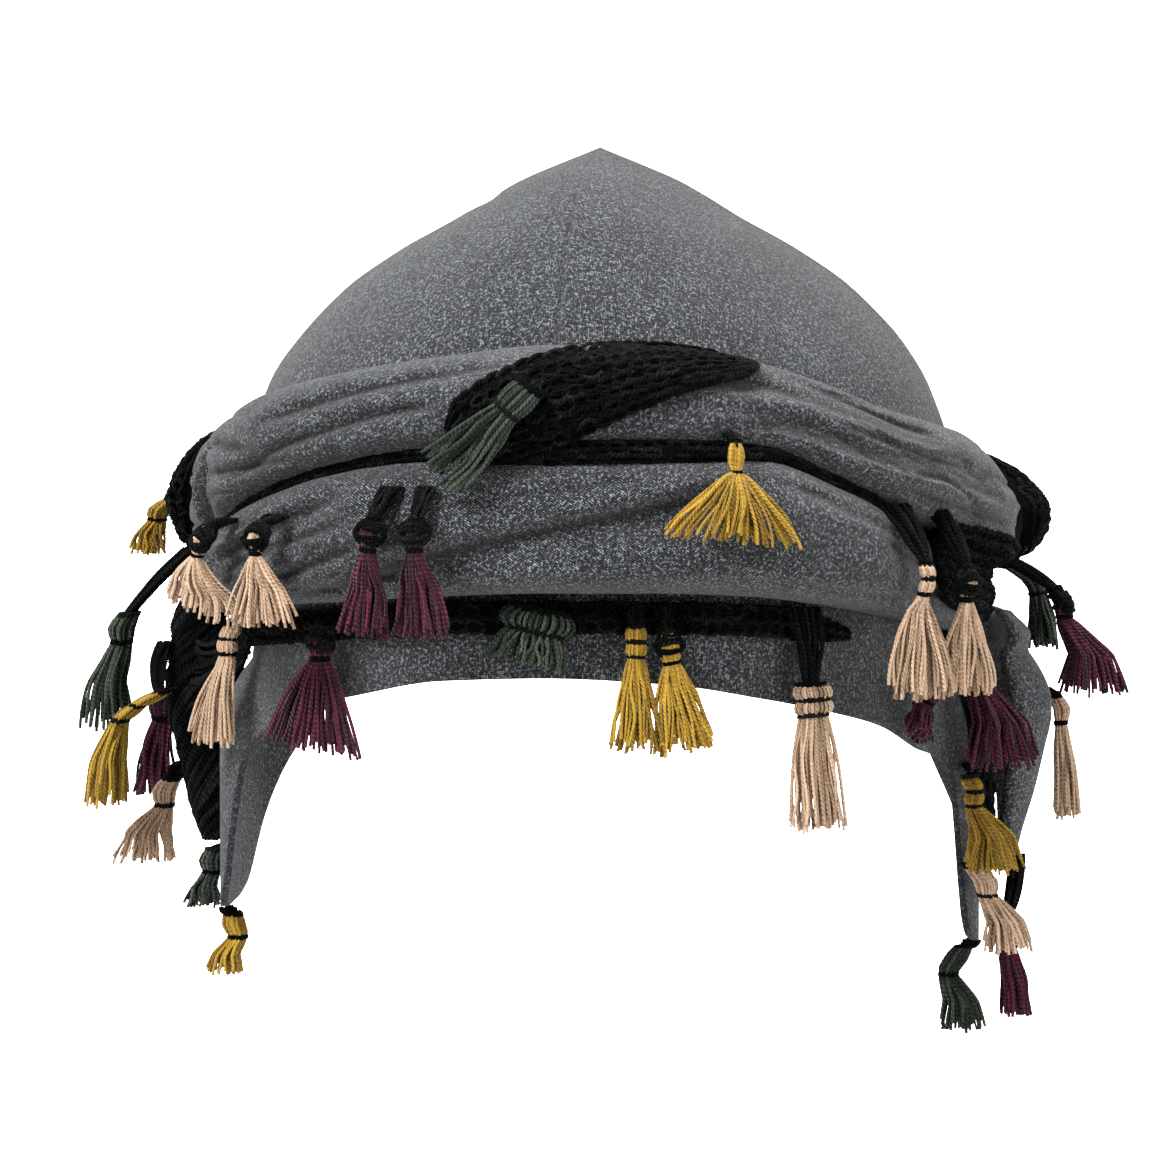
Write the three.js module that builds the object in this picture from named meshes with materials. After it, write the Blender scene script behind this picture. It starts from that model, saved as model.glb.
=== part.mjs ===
// A durag as it sits on a head: a hollow jersey cap with a centre seam, a pointed crown and two side flaps,
// two rolls of wound jersey round it, a crocheted trim in and over the rolls, and cotton tassels on the trim.
// Millimetres. +Z is up, -Y is the brow, +X is the wearer's left. The origin is in the middle of the head,
// level with the middle of the brow hem. Angles run round the head: 0 at the brow, 90 at +X, 180 at the nape.
import * as THREE from 'three';
import { mergeVertices } from 'three/addons/utils/BufferGeometryUtils.js';

const RADIANS = Math.PI / 180;

// Cap
const CAP_HALF_WIDTH = 84;
const CAP_FRONT = 98;
const CAP_BACK = 100;
const CROWN_HEIGHT = 121;
const FLAP_DROP = 69;
const FLAP_FLARE = 9;
const FLARE_HEIGHT = 20;
const JERSEY_WALL = 1.6;
const SEAM_DEPTH = 0.8;
const SEAM_HALF_ANGLE = 1.5;

// Wrap
const WRAP_TOP = 75;
const WRAP_SPLIT = 51;
const WRAP_FOOT = 19.5;
const UPPER_BULGE = 22;
const LOWER_BULGE = 25;
const ROLL_GAP = 0.5;
const CLOTH_CLEARANCE = 0.6;

// Trim
const TRIM_THICKNESS = 3;
const SIDE_TRIM_THICKNESS = 7;
const TRIM_WIDTH = 19;
const TAIL_WIDTH = 13;
const BROW_TRIM_WIDTH = 7;
const TRIM_CLEARANCE = 0.8;

// Tassels
const TASSEL_LENGTH = 27;
const TASSEL_HALF_SPREAD = 9;
const TASSEL_HALF_DEPTH = 3.2;
const HEAD_RADIUS = 3.4;
const NECK_LENGTH = 10;
const NECK_RADIUS = 2;
const TASSEL_CLEARANCE = 1.3;
const TASSEL_SEAT = 0.3;

// Mesh fineness
const CAP_COLUMNS = 44;
const BAND_ROW = 3;
const RING_STATIONS = 54;
const ROLL_ARC_STEPS = 8;
const ROLL_BACK_STEPS = 4;
const TRIM_COLUMNS = 6;
const TASSEL_LOBES = 5;

// The crown's level sections. height is a share of CROWN_HEIGHT, width of CAP_HALF_WIDTH, front of CAP_FRONT
// and back of CAP_BACK. power 2 is an ellipse; less is sharper at the seam.
const CROWN_SECTIONS = [
  { height: 0.0, width: 0.976, front: 0.99, back: 0.97, power: 2.1 },
  { height: 0.2, width: 1.0, front: 1.0, back: 1.0, power: 2.1 },
  { height: 0.38, width: 1.0, front: 0.985, back: 1.0, power: 2.1 },
  { height: 0.53, width: 0.937, front: 0.952, back: 0.97, power: 2.05 },
  { height: 0.63, width: 0.845, front: 0.896, back: 0.92, power: 2.0 },
  { height: 0.73, width: 0.706, front: 0.795, back: 0.83, power: 1.95 },
  { height: 0.8, width: 0.56, front: 0.704, back: 0.74, power: 1.9 },
  { height: 0.86, width: 0.405, front: 0.603, back: 0.635, power: 1.8 },
  { height: 0.905, width: 0.3, front: 0.49, back: 0.52, power: 1.75 },
  { height: 0.94, width: 0.206, front: 0.364, back: 0.39, power: 1.7 },
  { height: 0.972, width: 0.098, front: 0.2, back: 0.22, power: 1.6 },
  { height: 1.0, width: 0.0, front: 0.0, back: 0.0, power: 1.6 },
];

// The hem's drop below the brow as a share of FLAP_DROP, and how far it swings out there as a share of
// FLAP_FLARE. It arches over the brow, runs down to two flaps over the ears and is short at the nape.
const HEM = [
  { at: -180, drop: 0.17, flare: 0 },
  { at: -155, drop: 0.17, flare: 0 },
  { at: -140, drop: 0.17, flare: 0 },
  { at: -126, drop: 0.22, flare: 0.2 },
  { at: -115, drop: 0.4, flare: 0.6 },
  { at: -107, drop: 0.66, flare: 1.0 },
  { at: -100, drop: 0.84, flare: 1.0 },
  { at: -94, drop: 0.88, flare: 1.0 },
  { at: -86, drop: 0.89, flare: 1.0 },
  { at: -78, drop: 0.87, flare: 0.95 },
  { at: -73, drop: 0.78, flare: 0.85 },
  { at: -69, drop: 0.56, flare: 0.7 },
  { at: -65, drop: 0.34, flare: 0.45 },
  { at: -59, drop: 0.25, flare: 0.15 },
  { at: -45, drop: 0.145, flare: 0 },
  { at: -30, drop: 0.074, flare: 0 },
  { at: -15, drop: 0.014, flare: 0 },
  { at: 0, drop: 0.0, flare: 0 },
  { at: 15, drop: 0.02, flare: 0 },
  { at: 30, drop: 0.078, flare: 0 },
  { at: 45, drop: 0.145, flare: 0 },
  { at: 56, drop: 0.2, flare: 0 },
  { at: 68, drop: 0.29, flare: 0.1 },
  { at: 77, drop: 0.34, flare: 0.35 },
  { at: 81, drop: 0.44, flare: 0.55 },
  { at: 83, drop: 0.66, flare: 0.65 },
  { at: 85, drop: 0.88, flare: 0.75 },
  { at: 88, drop: 0.97, flare: 0.85 },
  { at: 94, drop: 1.0, flare: 1.0 },
  { at: 100, drop: 0.98, flare: 1.0 },
  { at: 108, drop: 0.74, flare: 1.0 },
  { at: 118, drop: 0.44, flare: 0.5 },
  { at: 128, drop: 0.24, flare: 0.2 },
  { at: 141, drop: 0.17, flare: 0 },
  { at: 155, drop: 0.17, flare: 0 },
  { at: 180, drop: 0.17, flare: 0 },
];

// The wrap round the head. top, split and foot are shares of WRAP_TOP, WRAP_SPLIT and WRAP_FOOT; upper and
// lower are how far the rolls stand out, as shares of UPPER_BULGE and LOWER_BULGE. slope 0 is a round roll
// and 1 a roll whose top leaves the cap at a shallow angle.
const WRAP = [
  { at: -180, top: 0.54, split: 0.36, foot: 0.06, upper: 0.8, lower: 0.6, slope: 0.6 },
  { at: -150, top: 0.57, split: 0.36, foot: 0.06, upper: 0.8, lower: 0.56, slope: 0.7 },
  { at: -122, top: 0.65, split: 0.36, foot: 0.16, upper: 0.76, lower: 0.42, slope: 0.9 },
  { at: -98, top: 0.72, split: 0.37, foot: 0.3, upper: 0.72, lower: 0.32, slope: 1.0 },
  { at: -80, top: 0.76, split: 0.42, foot: 0.46, upper: 0.6, lower: 0.34, slope: 0.9 },
  { at: -62, top: 0.79, split: 0.58, foot: 0.62, upper: 0.62, lower: 0.56, slope: 0.4 },
  { at: -46, top: 0.86, split: 0.74, foot: 0.74, upper: 0.84, lower: 0.8, slope: 0.2 },
  { at: -30, top: 0.92, split: 0.9, foot: 0.84, upper: 0.95, lower: 0.9, slope: 0.1 },
  { at: -14, top: 0.97, split: 0.99, foot: 0.95, upper: 1.0, lower: 0.97, slope: 0.1 },
  { at: 0, top: 1.0, split: 1.0, foot: 1.0, upper: 1.0, lower: 1.0, slope: 0.1 },
  { at: 12, top: 0.995, split: 1.01, foot: 1.0, upper: 1.0, lower: 1.0, slope: 0.1 },
  { at: 25, top: 0.965, split: 1.0, foot: 0.95, upper: 0.96, lower: 0.96, slope: 0.2 },
  { at: 37, top: 0.9, split: 0.86, foot: 0.82, upper: 0.88, lower: 0.86, slope: 0.4 },
  { at: 51, top: 0.81, split: 0.69, foot: 0.64, upper: 0.8, lower: 0.56, slope: 0.6 },
  { at: 66, top: 0.76, split: 0.54, foot: 0.46, upper: 0.7, lower: 0.34, slope: 0.9 },
  { at: 82, top: 0.72, split: 0.42, foot: 0.3, upper: 0.7, lower: 0.3, slope: 1.0 },
  { at: 100, top: 0.66, split: 0.37, foot: 0.16, upper: 0.74, lower: 0.34, slope: 1.0 },
  { at: 124, top: 0.6, split: 0.36, foot: 0.1, upper: 0.76, lower: 0.44, slope: 0.8 },
  { at: 150, top: 0.56, split: 0.36, foot: 0.06, upper: 0.8, lower: 0.56, slope: 0.6 },
  { at: 180, top: 0.54, split: 0.36, foot: 0.06, upper: 0.8, lower: 0.6, slope: 0.6 },
];
const SLOPE_LOSS = 0.5;
const ROLL_FULLNESS = 3;

// Folds pressed into the rolls: each runs from one angle to another and from one height across the roll
// (0 at its foot, 1 at its top) to another, with its depth as a share of the roll's bulge. A lap is a step:
// the cloth on its upper side lies over the cloth on its lower side when lap is 1, and under it when -1.
const FOLDS = [
  { roll: 'upper', from: -8, to: 27, low: 0.16, high: 0.9, depth: 0.17, lap: -1 },
  { roll: 'upper', from: 24, to: 60, low: 0.66, high: 0.72, depth: 0.1, lap: 0 },
  { roll: 'upper', from: 30, to: 76, low: 0.36, high: 0.5, depth: 0.1, lap: 0 },
  { roll: 'upper', from: -68, to: -34, low: 0.2, high: 0.62, depth: 0.12, lap: 0 },
  { roll: 'upper', from: -128, to: -78, low: 0.3, high: 0.7, depth: 0.14, lap: 0 },
  { roll: 'upper', from: 96, to: 150, low: 0.3, high: 0.66, depth: 0.14, lap: 0 },
  { roll: 'upper', from: 158, to: 232, low: 0.24, high: 0.78, depth: 0.18, lap: 0 },
  { roll: 'lower', from: -18, to: 21, low: 0.2, high: 0.72, depth: 0.15, lap: 1 },
  { roll: 'lower', from: -50, to: -26, low: 0.7, high: 0.72, depth: 0.08, lap: 0 },
  { roll: 'lower', from: -44, to: -18, low: 0.12, high: 0.44, depth: 0.1, lap: 0 },
  { roll: 'lower', from: 140, to: 206, low: 0.28, high: 0.74, depth: 0.16, lap: 0 },
];
const FOLD_HALF_WIDTH = 0.13;
const FOLD_END = 5;

// The trim bands' routes: at is the angle round the head. rise is the height as a share of WRAP_TOP above the
// brow hem and of FLAP_DROP below it, wide a share of the band's own width, and off how far the band hangs
// clear of the cloth, as a share of TAIL_WIDTH.
const FRONT_TRIM_ROUTE = [
  { at: 26.5, rise: 0.945, wide: 0.2, off: 0 },
  { at: 19, rise: 0.942, wide: 0.42, off: 0 },
  { at: 12, rise: 0.92, wide: 0.7, off: 0 },
  { at: 6, rise: 0.885, wide: 0.95, off: 0 },
  { at: 0, rise: 0.835, wide: 1.1, off: 0 },
  { at: -5, rise: 0.78, wide: 1.0, off: 0 },
  { at: -10, rise: 0.715, wide: 0.75, off: 0 },
];
const BROW_TRIM_ROUTE = [
  { at: -74, rise: 0.065, wide: 0.8, off: 0 },
  { at: -58, rise: 0.1, wide: 1.0, off: 0 },
  { at: -42, rise: 0.128, wide: 1.0, off: 0 },
  { at: -24, rise: 0.16, wide: 1.0, off: 0 },
  { at: -6, rise: 0.185, wide: 1.0, off: 0 },
  { at: 12, rise: 0.185, wide: 1.0, off: 0 },
  { at: 28, rise: 0.17, wide: 1.0, off: 0 },
  { at: 44, rise: 0.115, wide: 0.9, off: 0 },
];
const LEFT_SIDE_ROUTE = [
  { at: -88, rise: 0.67, wide: 0.6, off: 0 },
  { at: -94, rise: 0.58, wide: 0.9, off: 0 },
  { at: -100, rise: 0.48, wide: 1.1, off: 0 },
  { at: -103, rise: 0.36, wide: 1.0, off: 0 },
  { at: -104, rise: 0.25, wide: 0.8, off: 0 },
];
const RIGHT_SIDE_ROUTE = [
  { at: 113, rise: 0.54, wide: 0.7, off: 0 },
  { at: 108, rise: 0.5, wide: 1.0, off: 0 },
  { at: 103, rise: 0.43, wide: 1.0, off: 0 },
  { at: 99.5, rise: 0.36, wide: 0.9, off: 0 },
];
const RIGHT_BAND_ROUTE = [
  { at: 55, rise: 0.36, wide: 0.7, off: 0 },
  { at: 66, rise: 0.3, wide: 1.0, off: 0 },
  { at: 78, rise: 0.26, wide: 1.0, off: 0 },
  { at: 90, rise: 0.22, wide: 0.9, off: 0 },
];
const RIGHT_TAIL_ROUTE = [
  { at: 83, rise: 0.085, wide: 0.66, off: 0.09 },
  { at: 85.5, rise: -0.05, wide: 0.62, off: 0.2 },
  { at: 87.5, rise: -0.3, wide: 0.6, off: 0.08 },
  { at: 89, rise: -0.6, wide: 0.55, off: 0.05 },
  { at: 91.5, rise: -0.84, wide: 0.45, off: 0.03 },
];
const BAND_STATIONS = { front: 14, brow: 18, side: 9, right: 9, tail: 9 };

// The trim's left tail hangs free as a twisted cord of crochet: wide and deep are shares of TAIL_WIDTH.
const LEFT_TAIL_ROUTE = [
  { at: -103, rise: 0.232, wide: 0.4, deep: 0.36, off: 0.88 },
  { at: -101, rise: 0.06, wide: 0.46, deep: 0.48, off: 1.1 },
  { at: -100, rise: -0.1, wide: 0.46, deep: 0.5, off: 0.73 },
  { at: -99, rise: -0.35, wide: 0.44, deep: 0.48, off: 0.25 },
  { at: -98, rise: -0.56, wide: 0.36, deep: 0.4, off: 0.08 },
  { at: -98, rise: -0.68, wide: 0.24, deep: 0.3, off: 0.05 },
];

// The wrap's free end hangs as a panel behind the right flap. from and to are the angles of its edges, rise
// its height as on the trim's routes, out how far it billows from the cap as a share of UPPER_BULGE, and near
// the share of that at its edge beside the flap.
const WRAP_END = [
  { rise: 0.13, from: 92, to: 124, out: 0.43, near: 1 },
  { rise: 0.04, from: 92, to: 123, out: 0.72, near: 0.8 },
  { rise: -0.12, from: 92, to: 122, out: 0.7, near: 0.5 },
  { rise: -0.35, from: 93, to: 118, out: 0.5, near: 0.4 },
  { rise: -0.58, from: 95, to: 112, out: 0.3, near: 0.4 },
  { rise: -0.76, from: 97, to: 108, out: 0.14, near: 0.4 },
];
const WRAP_END_THICKNESS = 2.6;
const WRAP_END_CLEARANCE = 2.2;
const WRAP_END_SWING = 0.4;
const WRAP_END_COLUMNS = 8;
const WRAP_END_PLEAT = 1.2;

// The tassels. colour is the cotton's. at and rise say where the neck starts, as on the routes. lean turns
// the tassel from straight down, in degrees towards +X. neck, length, spread and deep are shares of
// NECK_LENGTH, TASSEL_LENGTH, TASSEL_HALF_SPREAD and TASSEL_HALF_DEPTH. lift is how far off the cloth it
// hangs, and out how much further its end swings out, both in head radii. The neck is sewn on aside degrees
// round from there and above it, as a share of NECK_LENGTH.
const TASSELS = namedRows(
  ['name', 'colour', 'at', 'rise', 'lean', 'neck', 'length', 'spread', 'deep', 'lift', 'out', 'aside', 'above'],
  [
    ['beige_left_outer', 'beige', -41.4, 0.466, -17, 0.15, 0.71, 1.15, 1.2, 0, 0.3, 0, 0],
    ['beige_left_inner', 'beige', -31.8, 0.484, 0, 0.15, 0.82, 1.0, 1, 0, 0.2, 0, 0],
    ['beige_left_low', 'beige', -61, 0.136, 0, 0.15, 1.01, 0.95, 1.2, 0, 0.6, 0, 0],
    ['plum_left', 'plum', -32.2, 0.156, -5, 0.15, 1.01, 1.4, 1, 0.2, 0.2, 0, 0],
    ['plum_front_left', 'plum', -16.3, 0.58, -7, 0.68, 0.94, 0.67, 1, 0, 0.2, 0, 0],
    ['plum_front_right', 'plum', -12.1, 0.582, 1, 0.68, 0.94, 0.64, 1, 0, 0.2, 0, 0],
    ['green_top', 'green', -0.4, 0.895, -41, 0.15, 0.95, 0.79, 1, 0.7, 0.4, 0, 0],
    ['green_brow', 'green', -0.8, 0.23, -13, 0.15, 0.45, 1.2, 1, 0.2, 0.2, 0, 0],
    ['mustard_brow_left', 'mustard', 10.8, 0.223, 0, 0.46, 1, 0.67, 1, 0.15, 0.2, 0, 0],
    ['mustard_brow_right', 'mustard', 14.1, 0.222, 9, 0.6, 0.97, 0.67, 1, 0.15, 0.2, 0, 0],
    ['mustard_front', 'mustard', 20.9, 0.74, -7, 0.15, 0.8, 1.62, 1, 0, 0.2, 0, 0],
    ['beige_brow', 'beige', 34.6, 0.206, 2, 1.74, 1.18, 0.79, 1, 0, 0.2, 0, 0],
    ['beige_right_inner', 'beige', 46.2, 0.513, -1, 1.29, 1.11, 0.73, 1, 0, 0.2, 0, 0],
    ['beige_right_outer', 'beige', 56.3, 0.491, -2, 1.35, 1.02, 0.8, 1, 0, 0.2, 0, 0],
    ['plum_right_small', 'plum', 62, -0.04, -30, 0.15, 0.5, 0.5, 1, 0, 0.1, 0, 0],
    ['plum_right', 'plum', 75, 0.091, 0, 0.45, 0.98, 1.18, 2.8, 1.3, 0.4, 0, 0],
    ['mustard_right', 'mustard', 76, -0.37, 0, 0.18, 0.8, 1, 2.3, 0.5, 0.2, 8, 0],
    ['beige_right_low', 'beige', 82, -0.694, 0, 0.15, 0.72, 0.74, 2.2, -0.8, 1.2, 5, 0],
    ['plum_right_low', 'plum', 103, -0.72, 0, 1.6, 0.84, 0.51, 1.4, 0, 0.3, 0, 0],
    ['green_right_low', 'green', 94, -1.0, 0, 0.15, 0.72, 0.69, 1.8, -2, -1.8, 0, 0],
    ['plum_right_outer', 'plum', 96, 0.312, 0, 0.82, 0.9, 1.18, 3.2, 0.2, 2.0, 0, 0],
    ['beige_right_back', 'beige', 108, -0.15, 0, 0.15, 1.08, 0.44, 1.2, 5.1, 0.4, 0, 0],
    ['green_right_back', 'green', 116, 0.273, 0, 0.15, 0.73, 0.46, 1.2, 0, 2.8, 0, 0],
    ['mustard_left_high', 'mustard', -106, 0.492, 0, 0.15, 0.5, 0.46, 1.5, 1.4, 1.9, 0, 0],
    ['green_left', 'green', -98, 0.318, 0, 1.64, 1.01, 0.67, 2, 1.4, 3.6, 0, 0],
    ['mustard_left', 'mustard', -89.5, -0.004, 0, 1, 0.99, 0.77, 1.8, 0, 5.7, -8, 0.1],
    ['plum_left_back', 'plum', -106.5, -0.08, 0, 0.7, 0.92, 0.49, 1.4, 6.6, 0.6, 0, 0],
    ['beige_left_back', 'beige', -100.5, -0.42, 0, 0.39, 0.75, 0.85, 2.4, 3.4, 0.9, 0, 0],
    ['green_left_low', 'green', -98, -0.7, 0, 0.15, 0.5, 0.54, 1.5, 0, 0, 0, 0],
    ['mustard_left_low', 'mustard', -84, -0.893, 0, 0.15, 0.52, 0.56, 1.7, -2, -0.8, 0, 0],
    ['mustard_nape_right', 'mustard', 138, 0.25, 0, 0.3, 0.86, 0.8, 1, 0, 0.3, 0, 0],
    ['plum_nape_right', 'plum', 156, 0.25, 0, 0.3, 0.86, 0.8, 1, 0, 0.3, 0, 0],
    ['beige_nape', 'beige', 174, 0.25, 0, 0.3, 0.86, 0.8, 1, 0, 0.3, 0, 0],
    ['green_nape', 'green', 192, 0.25, 0, 0.3, 0.86, 0.8, 1, 0, 0.3, 0, 0],
    ['mustard_nape_left', 'mustard', 210, 0.25, 0, 0.3, 0.86, 0.8, 1, 0, 0.3, 0, 0],
    ['plum_nape_left', 'plum', 228, 0.25, 0, 0.3, 0.86, 0.8, 1, 0, 0.3, 0, 0],
  ],
);

const FINISH = {
  jersey: { color: 0x4c4f55, roughness: 0.95, metalness: 0 },
  crochet: { color: 0x17191b, roughness: 0.9, metalness: 0 },
  green: { color: 0x2f3b32, roughness: 0.85, metalness: 0 },
  mustard: { color: 0xb8912c, roughness: 0.8, metalness: 0 },
  beige: { color: 0xc4a284, roughness: 0.8, metalness: 0 },
  plum: { color: 0x5a1c3c, roughness: 0.8, metalness: 0 },
};
const materials = {};
for (const [name, look] of Object.entries(FINISH)) {
  materials[name] = new THREE.MeshStandardMaterial({ name, ...look });
}

const durag = new THREE.Group();

function addPiece(name, finish, geometry) {
  const mesh = new THREE.Mesh(geometry, materials[finish]);
  mesh.name = name;
  durag.add(mesh);
}

// A table's rows with their values under the names of its columns.
function namedRows(columns, rows) {
  return rows.map((row) => Object.fromEntries(columns.map((column, i) => [column, row[i]])));
}

// A smooth value of one column of a table at a place on another column. The slope at each row is the
// gentler of its neighbours', so the curve never overshoots the table.
function valueAt(table, key, column, place) {
  let i = 1;
  while (i < table.length - 1 && table[i][key] < place) i += 1;
  const slope = (j) => {
    if (j < 1 || j > table.length - 2) return 0;
    const before = (table[j][column] - table[j - 1][column]) / (table[j][key] - table[j - 1][key]);
    const after = (table[j + 1][column] - table[j][column]) / (table[j + 1][key] - table[j][key]);
    return before * after > 0 ? (2 * before * after) / (before + after) : 0;
  };
  const [low, high] = [table[i - 1], table[i]];
  const span = high[key] - low[key];
  const t = Math.min(1, Math.max(0, (place - low[key]) / span));
  const startSlope = i === 1 ? (high[column] - low[column]) / span : slope(i - 1);
  const endSlope = i === table.length - 1 ? (high[column] - low[column]) / span : slope(i);
  const t2 = t * t;
  const t3 = t2 * t;
  return (2 * t3 - 3 * t2 + 1) * low[column] + (t3 - 2 * t2 + t) * span * startSlope
    + (3 * t2 - 2 * t3) * high[column] + (t3 - t2) * span * endSlope;
}

function wrapAngle(angle) {
  return ((((angle + 180) % 360) + 360) % 360) - 180;
}

function pointAt(angle, radius, z) {
  return new THREE.Vector3(radius * Math.sin(angle * RADIANS), -radius * Math.cos(angle * RADIANS), z);
}

// The cap's outer radius at an angle and a height, without the seam.
function capRadius(angle, z) {
  const height = Math.min(1, Math.max(0, z / CROWN_HEIGHT));
  const section = (column) => valueAt(CROWN_SECTIONS, 'height', column, height);
  const halfWidth = CAP_HALF_WIDTH * section('width');
  const ahead = Math.cos(angle * RADIANS);
  const halfLength = ahead > 0 ? CAP_FRONT * section('front') : CAP_BACK * section('back');
  if (halfWidth < 1e-6) return 0;
  const power = section('power');
  const across = Math.abs(Math.sin(angle * RADIANS)) / halfWidth;
  const along = Math.abs(ahead) / halfLength;
  const below = Math.min(1, Math.max(0, -z / FLARE_HEIGHT));
  const flare = FLAP_FLARE * valueAt(HEM, 'at', 'flare', wrapAngle(angle)) * below * (2 - below);
  return (across ** power + along ** power) ** (-1 / power) + flare;
}

function hemHeight(angle) {
  return -FLAP_DROP * valueAt(HEM, 'at', 'drop', wrapAngle(angle));
}

// A closed body from rings of points, all with the same number. The last ring meets the first again, or
// each end is closed: with a fan round its middle, or, on a flat section, with strips from side to side.
function bodyFromRings(rings, ends) {
  const count = rings[0].length;
  const positions = rings.flat().flatMap((p) => [p.x, p.y, p.z]);
  const faces = [];
  const steps = ends === 'loop' ? rings.length : rings.length - 1;
  for (let i = 0; i < steps; i += 1) {
    const next = (i + 1) % rings.length;
    for (let j = 0; j < count; j += 1) {
      const k = (j + 1) % count;
      faces.push(i * count + j, i * count + k, next * count + k);
      faces.push(i * count + j, next * count + k, next * count + j);
    }
  }
  if (ends === 'loop') return solidGeometry(positions, faces);
  for (const [ring, turned] of [[0, true], [rings.length - 1, false]]) {
    const face = (a, b, c) => faces.push(...(turned ? [c, b, a] : [a, b, c]));
    const first = ring * count;
    if (ends === 'strip') {
      for (let j = 0; j < count / 2 - 1; j += 1) {
        face(first + j, first + j + 1, first + count - 2 - j);
        face(first + j, first + count - 2 - j, first + count - 1 - j);
      }
      continue;
    }
    const middle = new THREE.Vector3();
    for (const p of rings[ring]) middle.addScaledVector(p, 1 / count);
    const hub = positions.length / 3;
    positions.push(middle.x, middle.y, middle.z);
    for (let j = 0; j < count; j += 1) face(hub, first + j, first + ((j + 1) % count));
  }
  return solidGeometry(positions, faces);
}

// An indexed geometry with its faces pointing out, whichever way the rings were wound.
function solidGeometry(positions, faces) {
  const corner = (i) => new THREE.Vector3().fromArray(positions, 3 * i);
  let volume = 0;
  for (let i = 0; i < faces.length; i += 3) {
    volume += corner(faces[i]).dot(corner(faces[i + 1]).cross(corner(faces[i + 2])));
  }
  const index = volume < 0 ? faces.slice().reverse() : faces;
  const geometry = new THREE.BufferGeometry();
  geometry.setAttribute('position', new THREE.Float32BufferAttribute(positions, 3));
  geometry.setIndex(index);
  const merged = mergeVertices(geometry, 1e-4);
  merged.computeVertexNormals();
  return merged;
}

// Cap
function seamInset(angle, z) {
  const offSeam = Math.min(Math.abs(wrapAngle(angle)), 180 - Math.abs(wrapAngle(angle)));
  const onCrown = Math.min(1, Math.max(0, z / (CROWN_HEIGHT / 3)));
  return offSeam < SEAM_HALF_ANGLE / 2 ? SEAM_DEPTH * onCrown : 0;
}

function capPoint(angle, z) {
  return pointAt(angle, Math.max(0, capRadius(angle, z) - seamInset(angle, z)), z);
}

// The same point moved in by the jersey's thickness, square to the surface.
function capInnerPoint(angle, z) {
  const turn = 2;
  const lift = 1.5;
  const p = capPoint(angle, z);
  const aside = pointAt(angle + turn, capRadius(angle + turn, z), z)
    .sub(pointAt(angle - turn, capRadius(angle - turn, z), z));
  const above = Math.min(z + lift, CROWN_HEIGHT);
  const upward = pointAt(angle, capRadius(angle, above), above)
    .sub(pointAt(angle, capRadius(angle, z - lift), z - lift));
  const outward = aside.cross(upward).normalize();
  return p.addScaledVector(outward, -JERSEY_WALL);
}

function makeCap() {
  const angles = [];
  for (let i = 0; i < CAP_COLUMNS; i += 1) angles.push(-180 + (360 * i) / CAP_COLUMNS);
  angles.push(-SEAM_HALF_ANGLE, SEAM_HALF_ANGLE, 180 - SEAM_HALF_ANGLE, SEAM_HALF_ANGLE - 180);
  angles.sort((a, b) => a - b);
  const crownRows = CROWN_SECTIONS.slice(1, -1).map((s) => s.height * CROWN_HEIGHT);
  const columns = angles.map((angle) => {
    const hem = hemHeight(angle);
    return [hem, (hem + BAND_ROW) / 2, BAND_ROW, ...crownRows];
  });
  const rows = columns[0].length;
  const positions = [];
  const grid = (point) => columns.map((heights, i) => heights.map((z) => {
    const p = point(angles[i], z);
    positions.push(p.x, p.y, p.z);
    return positions.length / 3 - 1;
  }));
  const outer = grid(capPoint);
  const inner = grid(capInnerPoint);
  const peak = positions.length / 3;
  positions.push(0, 0, CROWN_HEIGHT);
  const innerPeak = peak + 1;
  positions.push(0, 0, CROWN_HEIGHT - 2 * JERSEY_WALL);
  const faces = [];
  const quad = (a, b, c, d) => faces.push(a, b, c, a, c, d);
  for (let i = 0; i < columns.length; i += 1) {
    const n = (i + 1) % columns.length;
    for (let j = 0; j < rows - 1; j += 1) {
      quad(outer[i][j], outer[n][j], outer[n][j + 1], outer[i][j + 1]);
      quad(inner[i][j], inner[i][j + 1], inner[n][j + 1], inner[n][j]);
    }
    quad(outer[i][0], inner[i][0], inner[n][0], outer[n][0]);
    faces.push(outer[i][rows - 1], outer[n][rows - 1], peak);
    faces.push(inner[i][rows - 1], innerPeak, inner[n][rows - 1]);
  }
  return solidGeometry(positions, faces);
}

// Wrap
function wrapLine(column, angle) {
  const size = { top: WRAP_TOP, split: WRAP_SPLIT, foot: WRAP_FOOT, upper: UPPER_BULGE, lower: LOWER_BULGE };
  return size[column] * valueAt(WRAP, 'at', column, wrapAngle(angle));
}

function rollLimits(roll, angle) {
  const split = wrapLine('split', angle);
  return roll === 'upper'
    ? { low: split + ROLL_GAP / 2, high: wrapLine('top', angle), bulge: wrapLine('upper', angle) }
    : { low: wrapLine('foot', angle), high: split - ROLL_GAP / 2, bulge: wrapLine('lower', angle) };
}

// How much of a roll's bulge its folds take away at a height across it.
function foldDepth(roll, angle, across) {
  let depth = 0;
  for (const fold of FOLDS) {
    if (fold.roll !== roll) continue;
    for (const turn of [-360, 0, 360]) {
      const along = (angle + turn - fold.from) / (fold.to - fold.from);
      const inside = Math.min(angle + turn - fold.from, fold.to - angle - turn) / FOLD_END;
      if (inside <= 0) continue;
      const strength = Math.min(1, inside) * fold.depth;
      const off = (across - (fold.low + (fold.high - fold.low) * along)) / FOLD_HALF_WIDTH;
      const crease = Math.exp(-off * off);
      const under = fold.lap !== 0 && off * fold.lap < 0 ? Math.exp(-off * off / 9) : 0;
      depth += strength * Math.max(crease * (fold.lap === 0 ? 1 : 0.6), under);
    }
  }
  return depth;
}

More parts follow.
